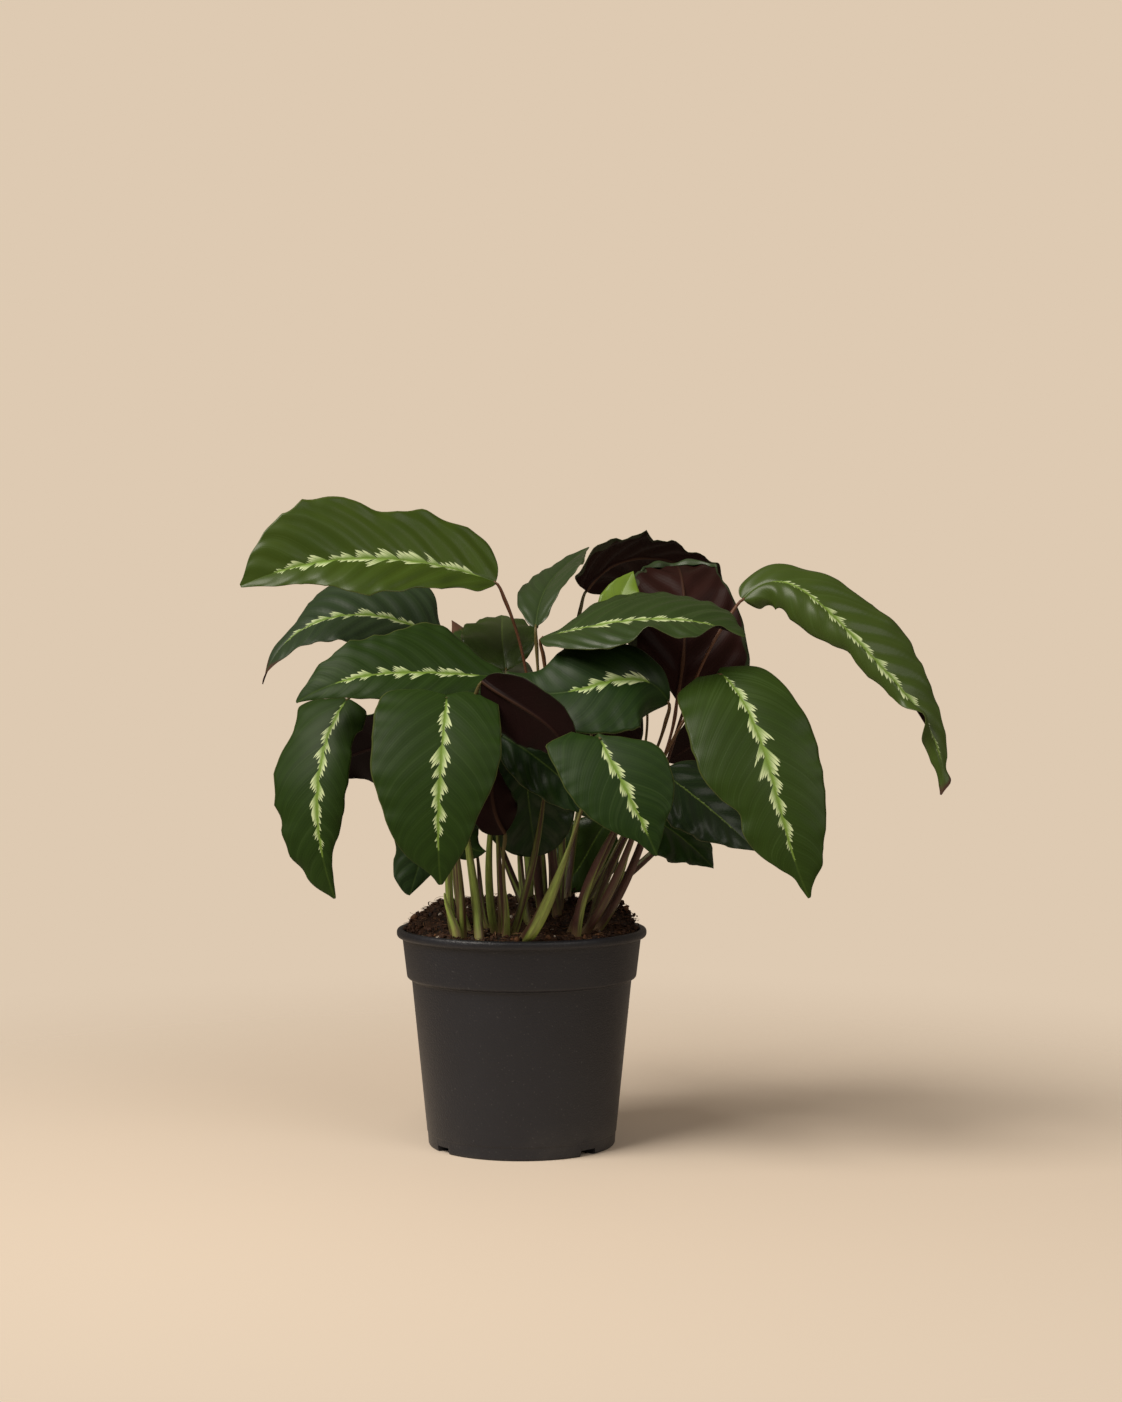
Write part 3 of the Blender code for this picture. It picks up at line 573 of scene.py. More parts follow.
def halfWidth(leaf, side, share):
    # a half blade's width: the swelling curve, or through its own points a Hermite cubic over
    # arccos(1 - 2 share), which rounds both ends
    points = leaf[("left", "right")[side]]
    if not points:
        return leaf["halves"][side] * swell(share, leaf["outline"][side])
    places, widths = np.array([(0, 0), *points, (100, 0)], float).T
    places, spot = np.arccos(1 - 2 * (places / 100)), np.arccos(1 - 2 * share)
    slopes = np.gradient(widths, places)
    k = np.clip(np.searchsorted(places, spot) - 1, 0, len(places) - 2)
    step = places[k + 1] - places[k]
    t = (spot - places[k]) / step
    curve = hermite(t, widths[k], step * slopes[k], widths[k + 1], step * slopes[k + 1])
    return np.maximum(curve, blade["narrowest"])


def veinRun(distance, reach):
    # how far a side vein has run towards the tip at that distance from the midrib: it leaves
    # the midrib at a slant, curves forward and follows the margin at the end
    return 0.85 * distance + 0.004 * distance**2 + 10 * reach**4


def hills(waves, side, share):
    # the sum of (side, share, height, width) hills along the margins
    return sum((side == wave[0]) * wave[2] * hill(share, wave[1], wave[3]) for wave in waves)


def bladeSurface(leaf, seed):
    # the middle surface: on each row a point of the midrib plus the way out to each side, which
    # rises by fold degrees, droops towards the margin and carries the waves and pleats. Between
    # two side veins the margin is cut back by scallop * (1 - (2 ending - 1)2), which leaves points
    t = np.linspace(0, 1, int(leaf["length"] / blade["rowStep"]) + 1)
    share = 0.002 + 0.996 * (t - 0.115 * np.sin(2 * np.pi * t))
    places, along, length = curveThrough(leaf["rib"], share)
    share = share[:, None]
    faces = unit(np.broadcast_to(np.array(leaf["faces"], float), (2, 3)))
    up = faces[0] + (faces[1] - faces[0]) * share
    up = unit(up - np.sum(up * along, axis=1, keepdims=True) * along)
    right = np.cross(along, up)
    start, degrees = leaf["curl"]
    turn = np.radians(degrees) * ramp(share, start, 1) ** 1.5
    up, right = up * np.cos(turn) + right * np.sin(turn), right * np.cos(turn) - up * np.sin(turn)
    columns = max(8, int(max(leaf["halves"]) * (1 + 0.5 * leaf["pleat"]) / blade["columnStep"]))
    u = np.linspace(-1, 1, 2 * columns + 1)[None, :]
    across = np.sign(u) * np.abs(u) ** 1.35
    side = (across > 0).astype(int)
    reach = np.abs(across)
    widths = np.where(side, halfWidth(leaf, 1, share), halfWidth(leaf, 0, share))
    breadth = widths / widths.max()
    sides = side * 5.0 + 0 * share
    ending = (share * length - veinRun(widths, 1)) / leaf["pleatRun"] + seed / (2 * np.pi) - 0.25
    arc = 1 - (2 * (ending - np.floor(ending)) - 1) ** 2
    arc = arc * (0.4 + 1.2 * lattice(np.floor(ending) * 3.7 + seed, sides, 1.0, 7))
    widths = widths - leaf["scallop"] * arc * np.minimum(1, 2 * breadth)
    widths = np.maximum(widths, blade["narrowest"])
    distance = reach * widths
    fold, droop = (np.broadcast_to(leaf[key], 2)[side] for key in ("fold", "droop"))
    slope = np.radians(fold + hills(leaf["rolls"], side, share) - droop * reach / 2)
    run = share * length
    foot = run - veinRun(distance, reach)
    height, count, phase = leaf["wave"]
    swing = 2 * np.pi * count * share + phase + 1.9 * side
    ripple = height * reach**2 * np.sin(swing) * np.minimum(1, 1.3 * breadth)
    ripple = ripple + hills(leaf["bumps"], side, share) * reach**2
    height, count = leaf["crimp"]
    uneven = 1 + 1.4 * lattice(share * count * 0.7 + seed * 3.1, sides, 1.0, 11)
    crimp = height * reach**4 * np.sin(2 * np.pi * count * share + 2.7 * side + seed) * uneven
    crimp = crimp * np.minimum(1, 2 * breadth)
    pleat = leaf["pleat"] * np.sin(2 * np.pi * foot / leaf["pleatRun"] + seed)
    pleat = pleat * np.minimum(1, distance / 6) * np.minimum(1, 1.5 * breadth)
    pleat = pleat * (1 - 0.75 * reach**3)
    lift = distance * np.sin(slope) + ripple + crimp + pleat
    sideways = np.sign(across) * distance * np.cos(slope)
    surface = places[:, None] + sideways[..., None] * right[:, None] + lift[..., None] * up[:, None]
    lobe = np.array(leaf["lobe"])[side] * reach**1.5 * np.exp(-share / 0.08)
    surface = surface - lobe[..., None] * along[:, None]
    normals = unit(np.cross(np.gradient(surface, axis=1), np.gradient(surface, axis=0)))
    grid = dict(share=share, reach=reach, run=run, distance=distance, side=np.sign(across), arc=arc)
    return surface, normals, grid


def feathering(leaf, share):
    # the reach of the pale strokes along the midrib: swells from start and thins out to end
    g = np.clip((share - leaf["start"]) / (leaf["end"] - leaf["start"]), 0.001, 0.999)
    inside = (share > leaf["start"]) * (share < leaf["end"])
    return leaf["feather"] * swell(g, (0.6, 0.6)) * inside


def shellAround(top, below, values):
    # a closed shell of two sides: rings around them with a pole at each end, the faces, which
    # faces are the underside's, and the values of the grid around both sides and at the poles
    rings = np.concatenate([top, below[:, ::-1]], axis=1)
    rows, wide = rings.shape[:2]
    poles = np.stack([rings[0].mean(axis=0), rings[-1].mean(axis=0)])
    column = np.tile(np.arange(wide), rows - 1)
    under = (column >= wide // 2) & (column < wide - 1)
    ends = np.concatenate([np.arange(wide), np.arange(wide)]) >= wide // 2
    spread = {}
    for label, parts in values.items():
        grid = np.stack([part + np.zeros((rows, wide // 2)) for part in parts], axis=-1)
        spread[label] = withPoles(np.concatenate([grid, grid[:, ::-1]], axis=1))
    points = np.concatenate([rings.reshape(-1, 3), poles])
    return points, ringFaces(rows, wide), np.concatenate([under, ends]), spread


def hemShell(leaf, seed, surface, normals, grid):
    # the strip of the margin that is folded over the underside, from start on one side around
    # the tip to start on the other: a bend of some degrees, then flat for up to width
    start, width, bend, degrees = leaf["hem"]
    angle = np.radians(degrees)
    rows = grid["share"][:, 0] > start

    def margins(first, last):
        # the values of both margins, one after the other
        return np.concatenate([first[rows], last[rows][::-1]])

    run = runAlong(margins(surface[:, 0], surface[:, -1]))
    t = np.linspace(0, 1, int(run[-1] / blade["rowStep"]) + 1)

    def read(first, last, window=1):
        # the same along the strip, as the mean of window rows
        columns = [np.interp(t * run[-1], run, column) for column in margins(first, last).T]
        soft = np.ones(window) / window
        padded = [np.pad(column, window // 2, mode="edge") for column in columns]
        return np.stack([np.convolve(column, soft, "valid") for column in padded], axis=-1)

    places = read(surface[:, 0], surface[:, -1])
    up = unit(read(normals[:, 0], normals[:, -1], 9))
    course = read(surface[:, 0], surface[:, -1], 9)
    out = unit(-np.cross(np.gradient(course, axis=0), up))
    v = np.linspace(1, 0, blade["hemRows"])[None, :]
    bulge = np.sqrt(np.clip(np.sin(np.pi * t), 0, 1)) * (0.35 + 0.65 * np.sin(t * 9 + seed) ** 2)
    bulge = bulge[:, None]
    turn = angle * ramp(v, 0, blade["hemTurn"])
    flat = ramp(v, blade["hemTurn"], 1) * width * bulge
    past = bend * np.sin(turn) * bulge + flat * np.cos(angle)
    down = bend * (1 - np.cos(turn)) * bulge + flat * np.sin(angle)
    strip = places[:, None] + past[..., None] * out[:, None] - down[..., None] * up[:, None]
    facing = unit(np.cross(np.gradient(strip, axis=1), np.gradient(strip, axis=0)))
    half = blade["edge"] / 2
    share = read(grid["share"], grid["share"])
    edge = read(grid["distance"][:, :1], grid["distance"][:, -1:]) - flat
    length = read(grid["run"], grid["run"])
    values = {
        "blade": (length, edge, 0.9), "look": (0, leaf["toneAndLight"] + 0.3, seed * 1.7),
        "age": (0, share, 1), "cover": (leaf["gloss"], leaf["red"], 0),
    }
    return shellAround(strip + facing * half, strip - facing * half, values)


def makeBlade(name, leaf, seed, materials):
    # the blade's two sides around the middle surface, thinner at the margin, with the midrib
    # standing out below and sunk a little above
    surface, normals, grid = bladeSurface(leaf, seed)
    share, reach, distance = grid["share"], grid["reach"], grid["distance"]
    thick = blade["edge"] + (blade["middle"] - blade["edge"]) * (1 - reach)
    ribSize = leaf["thick"][1] * (1 - share) ** 0.8 + blade["ribTip"]
    rib = ribSize * np.sqrt(np.clip(1 - (distance / ribSize) ** 2, 0, 1))
    groove = blade["groove"] * hill(distance, 0, blade["grooveWidth"]) * (1 - share)
    top = surface + normals * (thick / 2 - groove)[..., None]
    below = surface - normals * (thick / 2 + rib)[..., None]
    frayed = 0.07 * lattice(distance * 0.45 + 3 * grid["side"], share * 14 + seed, 1.0, 21)
    dry = ramp(share + frayed + 0.05 * reach**2, leaf["dry"] + 0.035, leaf["dry"] + 0.065)
    shells = [shellAround(top, below, {
        "blade": (grid["run"], distance * grid["side"], reach),
        "look": (feathering(leaf, share), leaf["toneAndLight"], seed * 1.7),
        "age": (dry, share, leaf["greyAndSheen"]),
        "cover": (leaf["gloss"], leaf["red"], leaf["rim"] * grid["arc"]),
    })]
    if leaf["hem"]:
        shells.append(hemShell(leaf, seed, surface, normals, grid))
    faces = shells[0][1]
    for shell in shells[1:]:
        faces = faces + shifted(shell[1], [len(shells[0][0])])
    points, under = (np.concatenate([shell[k] for shell in shells]) for k in (0, 2))
    values = {key: np.concatenate([shell[3][key] for shell in shells]) for key in shells[0][3]}
    return makePiece(name, points, faces, materials, under, values)


def leafTop():
    # dark green with a comb of pale strokes along the midrib. A stroke leaves the midrib slanting
    # to the tip; strokes stand in lobes, the first of a lobe is the longest, and every stroke has
    # a pointed end and its own length
    finish = Finish("leafTop", Specular_IOR_Level=0.13, Coat_Roughness=0.3)
    run, across, reach = finish.attribute("blade")
    feather, toneAndLight, seed = finish.attribute("look")
    dry, greyAndSheen = finish.attribute("age")[::2]
    gloss = finish.attribute("cover")[0]
    away, side = abs(across), across > 0
    stroke = run - away * 1.65
    drift = finish.noiseAlong(stroke * 0.05 + seed * 7 + side * 3.3, 1)
    course = stroke / 13.5 + drift * 1.6 + side * 0.45 + seed
    lobe = sawtooth(course)
    size = finish.noiseAlong((course - lobe) * 3.7 + side * 5.3 + seed, 0)
    teeth = stroke / 2.7 + drift * 5 + side * 0.4
    tooth = abs(sawtooth(teeth) - 0.5) * 2
    ragged = finish.noiseAlong((teeth - sawtooth(teeth)) * 3.7 + seed * 5 + side * 9.1, 0)
    length = feather * (1 - lobe**1.5 * 0.88) * (size + 0.45) * (ragged * 0.7 + 0.6)
    length = length - tooth**1.3 * 1.5
    pale = 1 - finish.rise(away, length - 0.35, length + 0.15)
    pale = pale * finish.rise(feather, 0.2, 0.8)
    outer = finish.rise(away / (abs(length) + 0.5), 0.1, 0.8)
    cream = finish.mix(outer, (0.15, 0.25, 0.04), (0.54, 0.62, 0.35))
    gap = finish.rise(tooth, 0.55, 0.95) * finish.rise(away, 0.6, 2.2)
    cream = finish.mix(gap * 0.65, cream, (0.09, 0.17, 0.025))
    vein = run - veinRun(away, reach)
    cloud = finish.noise(finish.place(), 28, 3)
    fine = sine(vein * 2.9 + cloud * 2)
    wander = finish.noiseAlong(vein * 0.11 + seed, 1)
    ridge = 1 - finish.rise(abs(sawtooth(vein / 6.5 + seed + wander * 2.5) - 0.5), 0.0, 0.07)
    ridge = ridge * finish.rise(away, 1, 4) * (1 - finish.rise(reach, 0.8, 1) * 0.6)
    dark = finish.mix(cloud, (0.0042, 0.0152, 0.0024), (0.0094, 0.0285, 0.0046))
    fresh = finish.mix(cloud, (0.028, 0.053, 0.0022), (0.052, 0.084, 0.004))
    brown = finish.mix(cloud, (0.03, 0.014, 0.01), (0.1, 0.05, 0.03))
    band = finish.rise(sine(vein * 0.66 + wander * 5 + seed), -0.6, 1)
    middle = 1 - finish.rise(away, 0.3, 0.7)
    margin = finish.rise(reach, 0.972, 0.99)
    # the mix from dark to fresh green by tone is partly painted light and shade, and the grey cast
    # partly a painted sheen
    colour = finish.layers(
        finish.mix(toneAndLight, dark, fresh), (greyAndSheen * 0.5, (0.036, 0.052, 0.036)),
        (finish.rise(toneAndLight, 1, 1.6), (0.11, 0.18, 0.014)), (band * 0.09, (0.04, 0.085, 0.012)),
        (fine * 0.02 + 0.02, (0.06, 0.1, 0.02)), (ridge * cloud * 0.13, (0.12, 0.19, 0.065)),
        (pale, cream), (middle * (finish.rise(feather, 0.1, 1.8) * 0.8 + 0.1), (0.14, 0.22, 0.035)),
        (margin * 0.45, (0.1, 0.11, 0.035)), (dry, brown),
    )
    grain = finish.noise(finish.place(), 900, 2)
    height = fine * finish.rise(away, 0.8, 2.5) * 0.12 + ridge * 0.4 + grain * 0.3
    rough = cloud * 0.12 + 0.42 + dry * 0.3
    finish.shade(Coat_Weight=gloss * (1 - dry))
    return finish.surface(colour, rough, height, 0.0001, 0.6)


def leafUnder():
    # burgundy with paler side veins, a pinkish brown midrib and a green margin
    finish = Finish("leafUnder", Specular_IOR_Level=0.09)
    run, across, reach = finish.attribute("blade")
    toneAndLight, seed = finish.attribute("look")[1:]
    dry, share = finish.attribute("age")[:2]
    red, rim = finish.attribute("cover")[1:]
    away = abs(across)
    vein = run - veinRun(away, reach)
    cloud = finish.noise(finish.place(), 30, 3)
    fine = sine(vein * 2.9 + cloud * 2) * finish.rise(away, 0.8, 2.5)
    ridge = 1 - finish.rise(abs(sawtooth(vein / 6.5 + seed) - 0.5), 0.0, 0.05)
    ridge = ridge * finish.rise(away, 1, 3)
    dark = finish.mix(cloud, (0.0022, 0.0007, 0.0006), (0.0085, 0.0022, 0.0026))
    warm = finish.mix(cloud, (0.011, 0.0036, 0.0026), (0.042, 0.013, 0.0095))
    line = finish.mix(red, (0.02, 0.009, 0.008), (0.07, 0.03, 0.022))
    midrib = finish.mix(red, (0.03, 0.014, 0.009), (0.11, 0.055, 0.03))
    green = finish.mix(rim, (0.02, 0.038, 0.014), (0.045, 0.055, 0.03))
    colour = finish.layers(
        finish.mix(red, dark, warm), (fine * 0.02 + ridge * 0.1 + 0.02, line),
        ((1 - finish.rise(away, 0.5, 1.0)) * (1 - share), midrib),
        (finish.rise(reach + rim * 0.13, 0.955, 0.985) * 0.75, green), (dry, (0.04, 0.02, 0.012)),
        (finish.rise(toneAndLight, 1, 1.3), (0.13, 0.2, 0.02)),
    )
    grain = finish.noise(finish.place(), 900, 2)
    height = fine * 0.12 + ridge * 0.35 + grain * 0.3
    return finish.surface(colour, cloud * 0.12 + 0.46, height, 0.00012, 0.6)


materials = [leafTop(), leafUnder()]
for number, (name, own) in enumerate(leaves.items()):
    leaf = leaves[name] = {**plainLeaf, **own}
    leaf["length"] = curveThrough(leaf["rib"], np.array([0.0, 1.0]))[2]
    piece = makeBlade("blade_" + name, leaf, number + 1.0, materials)
    settle(piece, leaf["slot"], "leaf_" + name)
print("blades made:", len(leaves))

# level is the height of the soil in front and heap what it rises by between the two places of
# slope, rough the (height, size, seed) of its lumps, quieter over edge, and wall the profile down
# the pot's inside
soil = dict(
    level=120.5, heap=13.5, slope=(-40, 20), reach=65, radius=64.7, rings=96, spokes=320, edge=4,
    wall=(
        (64.4, 118), (63.6, 108), (62.5, 98.5), (59.8, 94), (50.5, 5.5), (41, 5.5), (38, 2.5),
        (12, 2.5),
    ),
    bottom=2.5, rough=((3.2, 11.0, 3), (2.2, 4.3, 4), (1.1, 1.7, 5)),
)
# sheath is the share that is sheathed, flattened and creased, joint the (share, length, growth) of
# the swelling, bend the length that turns into the midrib and sunk the length under the soil
stalk = dict(
    rows=70, around=14, sheath=0.5, flat=0.13, crease=(0.22, 0.45), joint=(0.93, 7, 0.4), bend=10,
    sunk=5,
)


def soilHeight(x, y):
    # level in front and heaped up behind, and falling off where it meets the wall
    run = ramp(y, *soil["slope"])
    share = run * run * (3 - 2 * run)
    return soil["level"] + soil["heap"] * share * (1 - (np.hypot(x, y) / soil["reach"]) ** 8)


def stalkLine(leaf):
    # from under the soil up the CAD's course, then round into the start of the midrib on a
    # Hermite arc
    base = np.array(leaf["rib"][0], float)
    ahead = unit(np.array(leaf["rib"][1]) - base)
    start, low, high = leaf["stalk"]
    foot = (*start, float(soilHeight(*start)) + 0.5)
    places, along, length = curveThrough([foot, low, high, base], np.linspace(0, 1, 160))
    kept = places[: int(160 * (1 - stalk["bend"] / length))]
    t = np.linspace(0, 1, 40)[:, None]
    pull = stalk["bend"] * 1.1
    arriving = along[len(kept) - 1]
    arc = hermite(t, kept[-1], pull * arriving, base + 1.5 * ahead, pull * ahead)
    below = kept[0] - stalk["sunk"] * along[0]
    return np.concatenate([below[None], kept, arc[1:]]), arriving, ahead


def makeTube(name, course, first, size, share, red, seed, tip=0):
    # rings of those sizes around a course, closed at its two ends, whose attributes say where on
    # the ring and how far along each point is
    places, along, length = course
    angle = turns(size.shape[1])
    second = np.cross(along, first)
    turning = np.cos(angle)[:, None] * first[:, None] + np.sin(angle)[:, None] * second[:, None]
    rings = places[:, None] + size[..., None] * turning
    points = np.concatenate([rings.reshape(-1, 3), places[:1], places[-1:] + tip * along[-1:]])
    values = {
        "stem": (np.cos(angle), np.sin(angle), share[0]), "look": (red, length * share[1], seed),
    }
    for label, parts in values.items():
        values[label] = withPoles(np.stack([part + 0 * size for part in parts], axis=-1))
    return makePiece(name, points, ringFaces(*size.shape), [stalkMaterial], None, values)


def makeStalk(name, leaf, seed):
    # a tube along that line: a wide flattened sheath with a crease at the foot, a slim stalk, and
    # the slight swelling of the joint below the blade
    line, arriving, ahead = stalkLine(leaf)
    share = np.linspace(0, 1, stalk["rows"])
    course = alongLine(line, share)
    along, length = course[1:]
    bend = np.cross(arriving, ahead)
    if np.linalg.norm(bend) < 0.25:
        bend = np.cross(arriving, (0.3, 1, 0.2))
    first = unit(bend - np.sum(bend * along, axis=1, keepdims=True) * along)
    angle = turns(stalk["around"])[None, :]
    foot, top = leaf["thick"]
    s = share[:, None]
    sheath = 1 - ramp(s, 0, stalk["sheath"]) ** 2
    size = top * 0.65 + (foot * 1.1 - top * 0.65) * sheath + (foot - top) * 0.25 * (1 - s)
    middle, long, growth = stalk["joint"]
    size = size * (1 + growth * hill((s - middle) * length, 0, long))
    depth, wide = stalk["crease"]
    crease = depth * sheath * hill(np.mod(angle - seed + np.pi, 2 * np.pi), np.pi, wide)
    flat = 1 + stalk["flat"] * sheath * np.cos(2 * (angle - seed))
    return makeTube(name, course, first, size * (flat - crease), (s, s), leaf["redStalk"], seed)


def stalkFinish():
    # light green sheath with long brownish purple streaks, turning reddish brown upwards
    finish = Finish("stalk", Specular_IOR_Level=0.4)
    turn, lift, share = finish.attribute("stem")
    red, run, seed = finish.attribute("look")

    def grain(wide, long, apart, *noise):
        # noise over the stalk's surface, drawn out along it, and apart for each stalk
        place = finish.join(turn * wide, lift * wide, run * long + seed * apart)
        return finish.noise(place, *noise)

    streak, fibre = grain(0.45, 0.008, 3, 1.7, 2), grain(3, 0.02, 2, 3, 2)
    speck = grain(1.2, 0.06, 5, 3, 3)
    green = finish.mix(speck, (0.1, 0.155, 0.02), (0.33, 0.42, 0.09))
    brown = finish.mix(speck, (0.024, 0.009, 0.007), (0.09, 0.035, 0.024))
    aged = finish.rise(streak + fibre * 0.22 + red * 0.2, 0.5, 0.8)
    upper = finish.mix(speck, (0.06, 0.018, 0.008), (0.17, 0.058, 0.026))
    olive = finish.mix(speck, (0.05, 0.06, 0.014), (0.12, 0.12, 0.03))
    colour = finish.layers(
        green, (aged, brown), (finish.rise(share, 0.4, 0.75), finish.mix(red, olive, upper)),
        ((1 - finish.rise(run, 5, 13)) * 0.45, (0.26, 0.18, 0.085)),
    )
    height = grain(4, 0.02, 0, 5, 2)
    return finish.surface(colour, speck * 0.15 + 0.36, height, 0.0002, 0.6)


stalkMaterial = stalkFinish()
for number, (name, leaf) in enumerate(leaves.items()):
    settle(makeStalk("petiole_" + name, leaf, number + 0.5), "stalk", "stalk_" + name)
print("stalks made:", len(leaves))

# a young leaf still rolled up: its course, its radius at the foot and at the point, the step of
# its spiral and how many times that turns
shoot = dict(
    course=((-34, -50, 118), (-36, -50, 129), (-39, -50, 137), (-41, -50, 145)), size=(2.7, 0.35),
    step=0.16, twist=1.2, tip=0.4, rows=40, around=20,
)


def makeShoot():
    # a cone whose radius steps out along a spiral where the rolled blade's margin lies
    share = np.linspace(0, 1, shoot["rows"])
    course = curveThrough(shoot["course"], share)
    first = unit(np.cross(course[1], (0, 1, 0)))
    s = share[:, None]
    foot, top = shoot["size"]
    size = top + (foot - top) * (1 - s) ** 0.8
    spiral = np.mod(turns(shoot["around"]) / 2 / np.pi + shoot["twist"] * s, 1)
    size = size * (1 + shoot["step"] * spiral)
    return makeTube("young_shoot", course, first, size, (0.2 * s, s), 0, 8, shoot["tip"])


settle(makeShoot(), "leaf_light", "shoot_young")


def soilSurface(x, y):
    # the heap plus lumps of three sizes, quieter at the very edge
    rough = sum(tall * lattice(x + 90, y + 90, size, seed) for tall, size, seed in soil["rough"])
    edge = ramp(np.hypot(x, y), soil["radius"], soil["radius"] - soil["edge"])
    return soilHeight(x, y) + rough * (0.35 + 0.65 * edge)


def makeSoil(material):
    # rings from the middle of the top out to the pot's wall, down it and in to the middle again
    radius = soil["radius"] * np.linspace(0.01, 1, soil["rings"]) ** 0.9
    angle = turns(soil["spokes"])
    x, y = radius[:, None] * np.cos(angle), radius[:, None] * np.sin(angle)
    top = np.stack([x, y, soilSurface(x, y)], axis=-1)
    r, z = np.array(soil["wall"]).T[..., None]
    rings = np.concatenate([top, circled(r, angle, z)])
    poles = np.stack([top[0].mean(axis=0), (0, 0, soil["bottom"])])
    points = np.concatenate([rings[:, ::-1].reshape(-1, 3), poles])
    return makePiece("soil_heap", points, ringFaces(len(rings), soil["spokes"]), [material])


def manyAlike(name, points, faces, rng, material):
    # one mesh of many closed shapes with the same faces, each with tones of its own
    count, each = points.shape[:2]
    tones = {"grain": np.repeat(rng.random((count, 3)), each, axis=0)}
    faces = shifted(faces, range(0, count * each, each))
    return makePiece(name, points.reshape(-1, 3), faces, [material], None, tones)


def makeStones(name, material, places, sizes, squash, seed, wide=6, rows=3):
    # many small stones at once: a sphere of a few rings, each radius changed at random, squashed
    # and turned at random
    rng = np.random.default_rng(seed)
    polar = (np.pi * (np.arange(rows) + 1) / (rows + 1))[:, None]
    ball = circled(np.sin(polar), turns(wide), np.cos(polar)).reshape(-1, 3)
    ball = np.concatenate([ball, [(0, 0, 1), (0, 0, -1)]])
    count = len(places)
    many = ball[None] * rng.uniform(0.65, 1.25, (count, len(ball), 1))
    many = many * rng.uniform(*squash, (count, 1, 3)) * sizes[:, None, None]
    axes = np.linalg.qr(rng.normal(size=(count, 3, 3)))[0]
    axes = axes * np.sign(np.linalg.det(axes))[:, None, None]
    many = np.einsum("nij,nkj->nki", axes, many) + places[:, None]
    return manyAlike(name, many, [face[::-1] for face in ringFaces(rows, wide)], rng, material)


def scatter(count, seed, outer=64.0, inner=0.0):
    # places spread evenly over the soil
    rng = np.random.default_rng(seed)
    radius = np.sqrt(rng.uniform(inner**2, outer**2, count))
    angle = rng.uniform(0, 2 * np.pi, count)
    x, y = radius * np.cos(angle), radius * np.sin(angle)
    return np.stack([x, y, soilSurface(x, y)], axis=-1)


# radius is the least radius and what chance adds to it, and squash the range in which a stone is
# stretched each way. rim is the number, seed, outer and inner radius of the crumbs against the lip,
# and clods are the middles of the clods that stand up on the right, of cloddy crumbs in all, whose
# distances from them are about spread
crumbs = dict(
    count=2200, radius=(0.4, 1.5), squash=(0.45, 1.3), rim=(320, 23, 65.5, 60.0), raised=0.8,
    clods=((31, 8, 137), (57, 10, 131), (61, -4, 127)), cloddy=90, spread=(2.6, 3, 2.4),
)
perlite = dict(count=60, radius=(0.6, 1.0), squash=(0.8, 1.1))
# tilt is the mean and the spread of a fibre's slope, and bow how far it bends
fibres = dict(count=1300, length=(2.5, 10), radius=(0.1, 0.32), tilt=(0.1, 0.22), bow=1.2, lift=0.6)


def makeCrumbs(material):
    # crumbs all over, a rim of them against the lip, and the clods; most of them are small
    rng = np.random.default_rng(21)
    loose = scatter(crumbs["count"], 22)
    rim = scatter(*crumbs["rim"]) + (0, 0, crumbs["raised"])
    count, middles = crumbs["cloddy"], np.array(crumbs["clods"])
    clods = middles[rng.integers(0, len(middles), count)]
    clods = clods + rng.normal(0, 1, (count, 3)) * crumbs["spread"]
    places = np.concatenate([loose, rim, clods])
    least, more = crumbs["radius"]
    sizes = least + more * rng.random(len(places)) ** 3
    return makeStones("soil_crumbs", material, places, sizes, crumbs["squash"], 24)


def makePerlite(material):
    # a few pale, rounder grains
    places = scatter(perlite["count"], 31)
    least, more = perlite["radius"]
    sizes = least + more * np.random.default_rng(32).random(len(places)) ** 2
    return makeStones("soil_perlite", material, places, sizes, perlite["squash"], 33)


def makeFibres(material):
    # short bent fibres: a triangle carried along a shallow arc that lies on the soil or leans out
    # of it, and narrows to both ends
    rng = np.random.default_rng(41)
    count = fibres["count"]
    places = scatter(count, 42) + (0, 0, fibres["lift"])
    heading = rng.uniform(0, 2 * np.pi, count)
    tilt = rng.normal(*fibres["tilt"], count)
    way = circled(np.cos(tilt), heading, np.sin(tilt))
    level = np.cross((0, 0, 1), circled(1, heading, 0))
    upward = np.cross(way, level)
    length = rng.uniform(*fibres["length"], count)
    steps = np.linspace(-0.5, 0.5, 6)
    line = places[:, None] + (length[:, None] * steps)[..., None] * way[:, None]
    bow = rng.normal(0, fibres["bow"], count)[:, None] * (1 - 4 * steps**2)
    line = line + bow[..., None] * level[:, None] + (np.abs(bow) * 0.4)[..., None] * upward[:, None]
    least, more = fibres["radius"]
    size = (least + more * rng.random(count) ** 2)[:, None] * (1.05 - 4 * steps**2 * 0.9)
    angle = np.array([0, 2.1, 4.2])[:, None]
    turning = np.cos(angle) * level[:, None, None] + np.sin(angle) * upward[:, None, None]
    rings = line[:, :, None] + size[..., None, None] * turning
    points = np.concatenate([rings.reshape(count, -1, 3), line[:, :1], line[:, -1:]], axis=1)
    return manyAlike("soil_fibres", points, ringFaces(6, 3), rng, material)


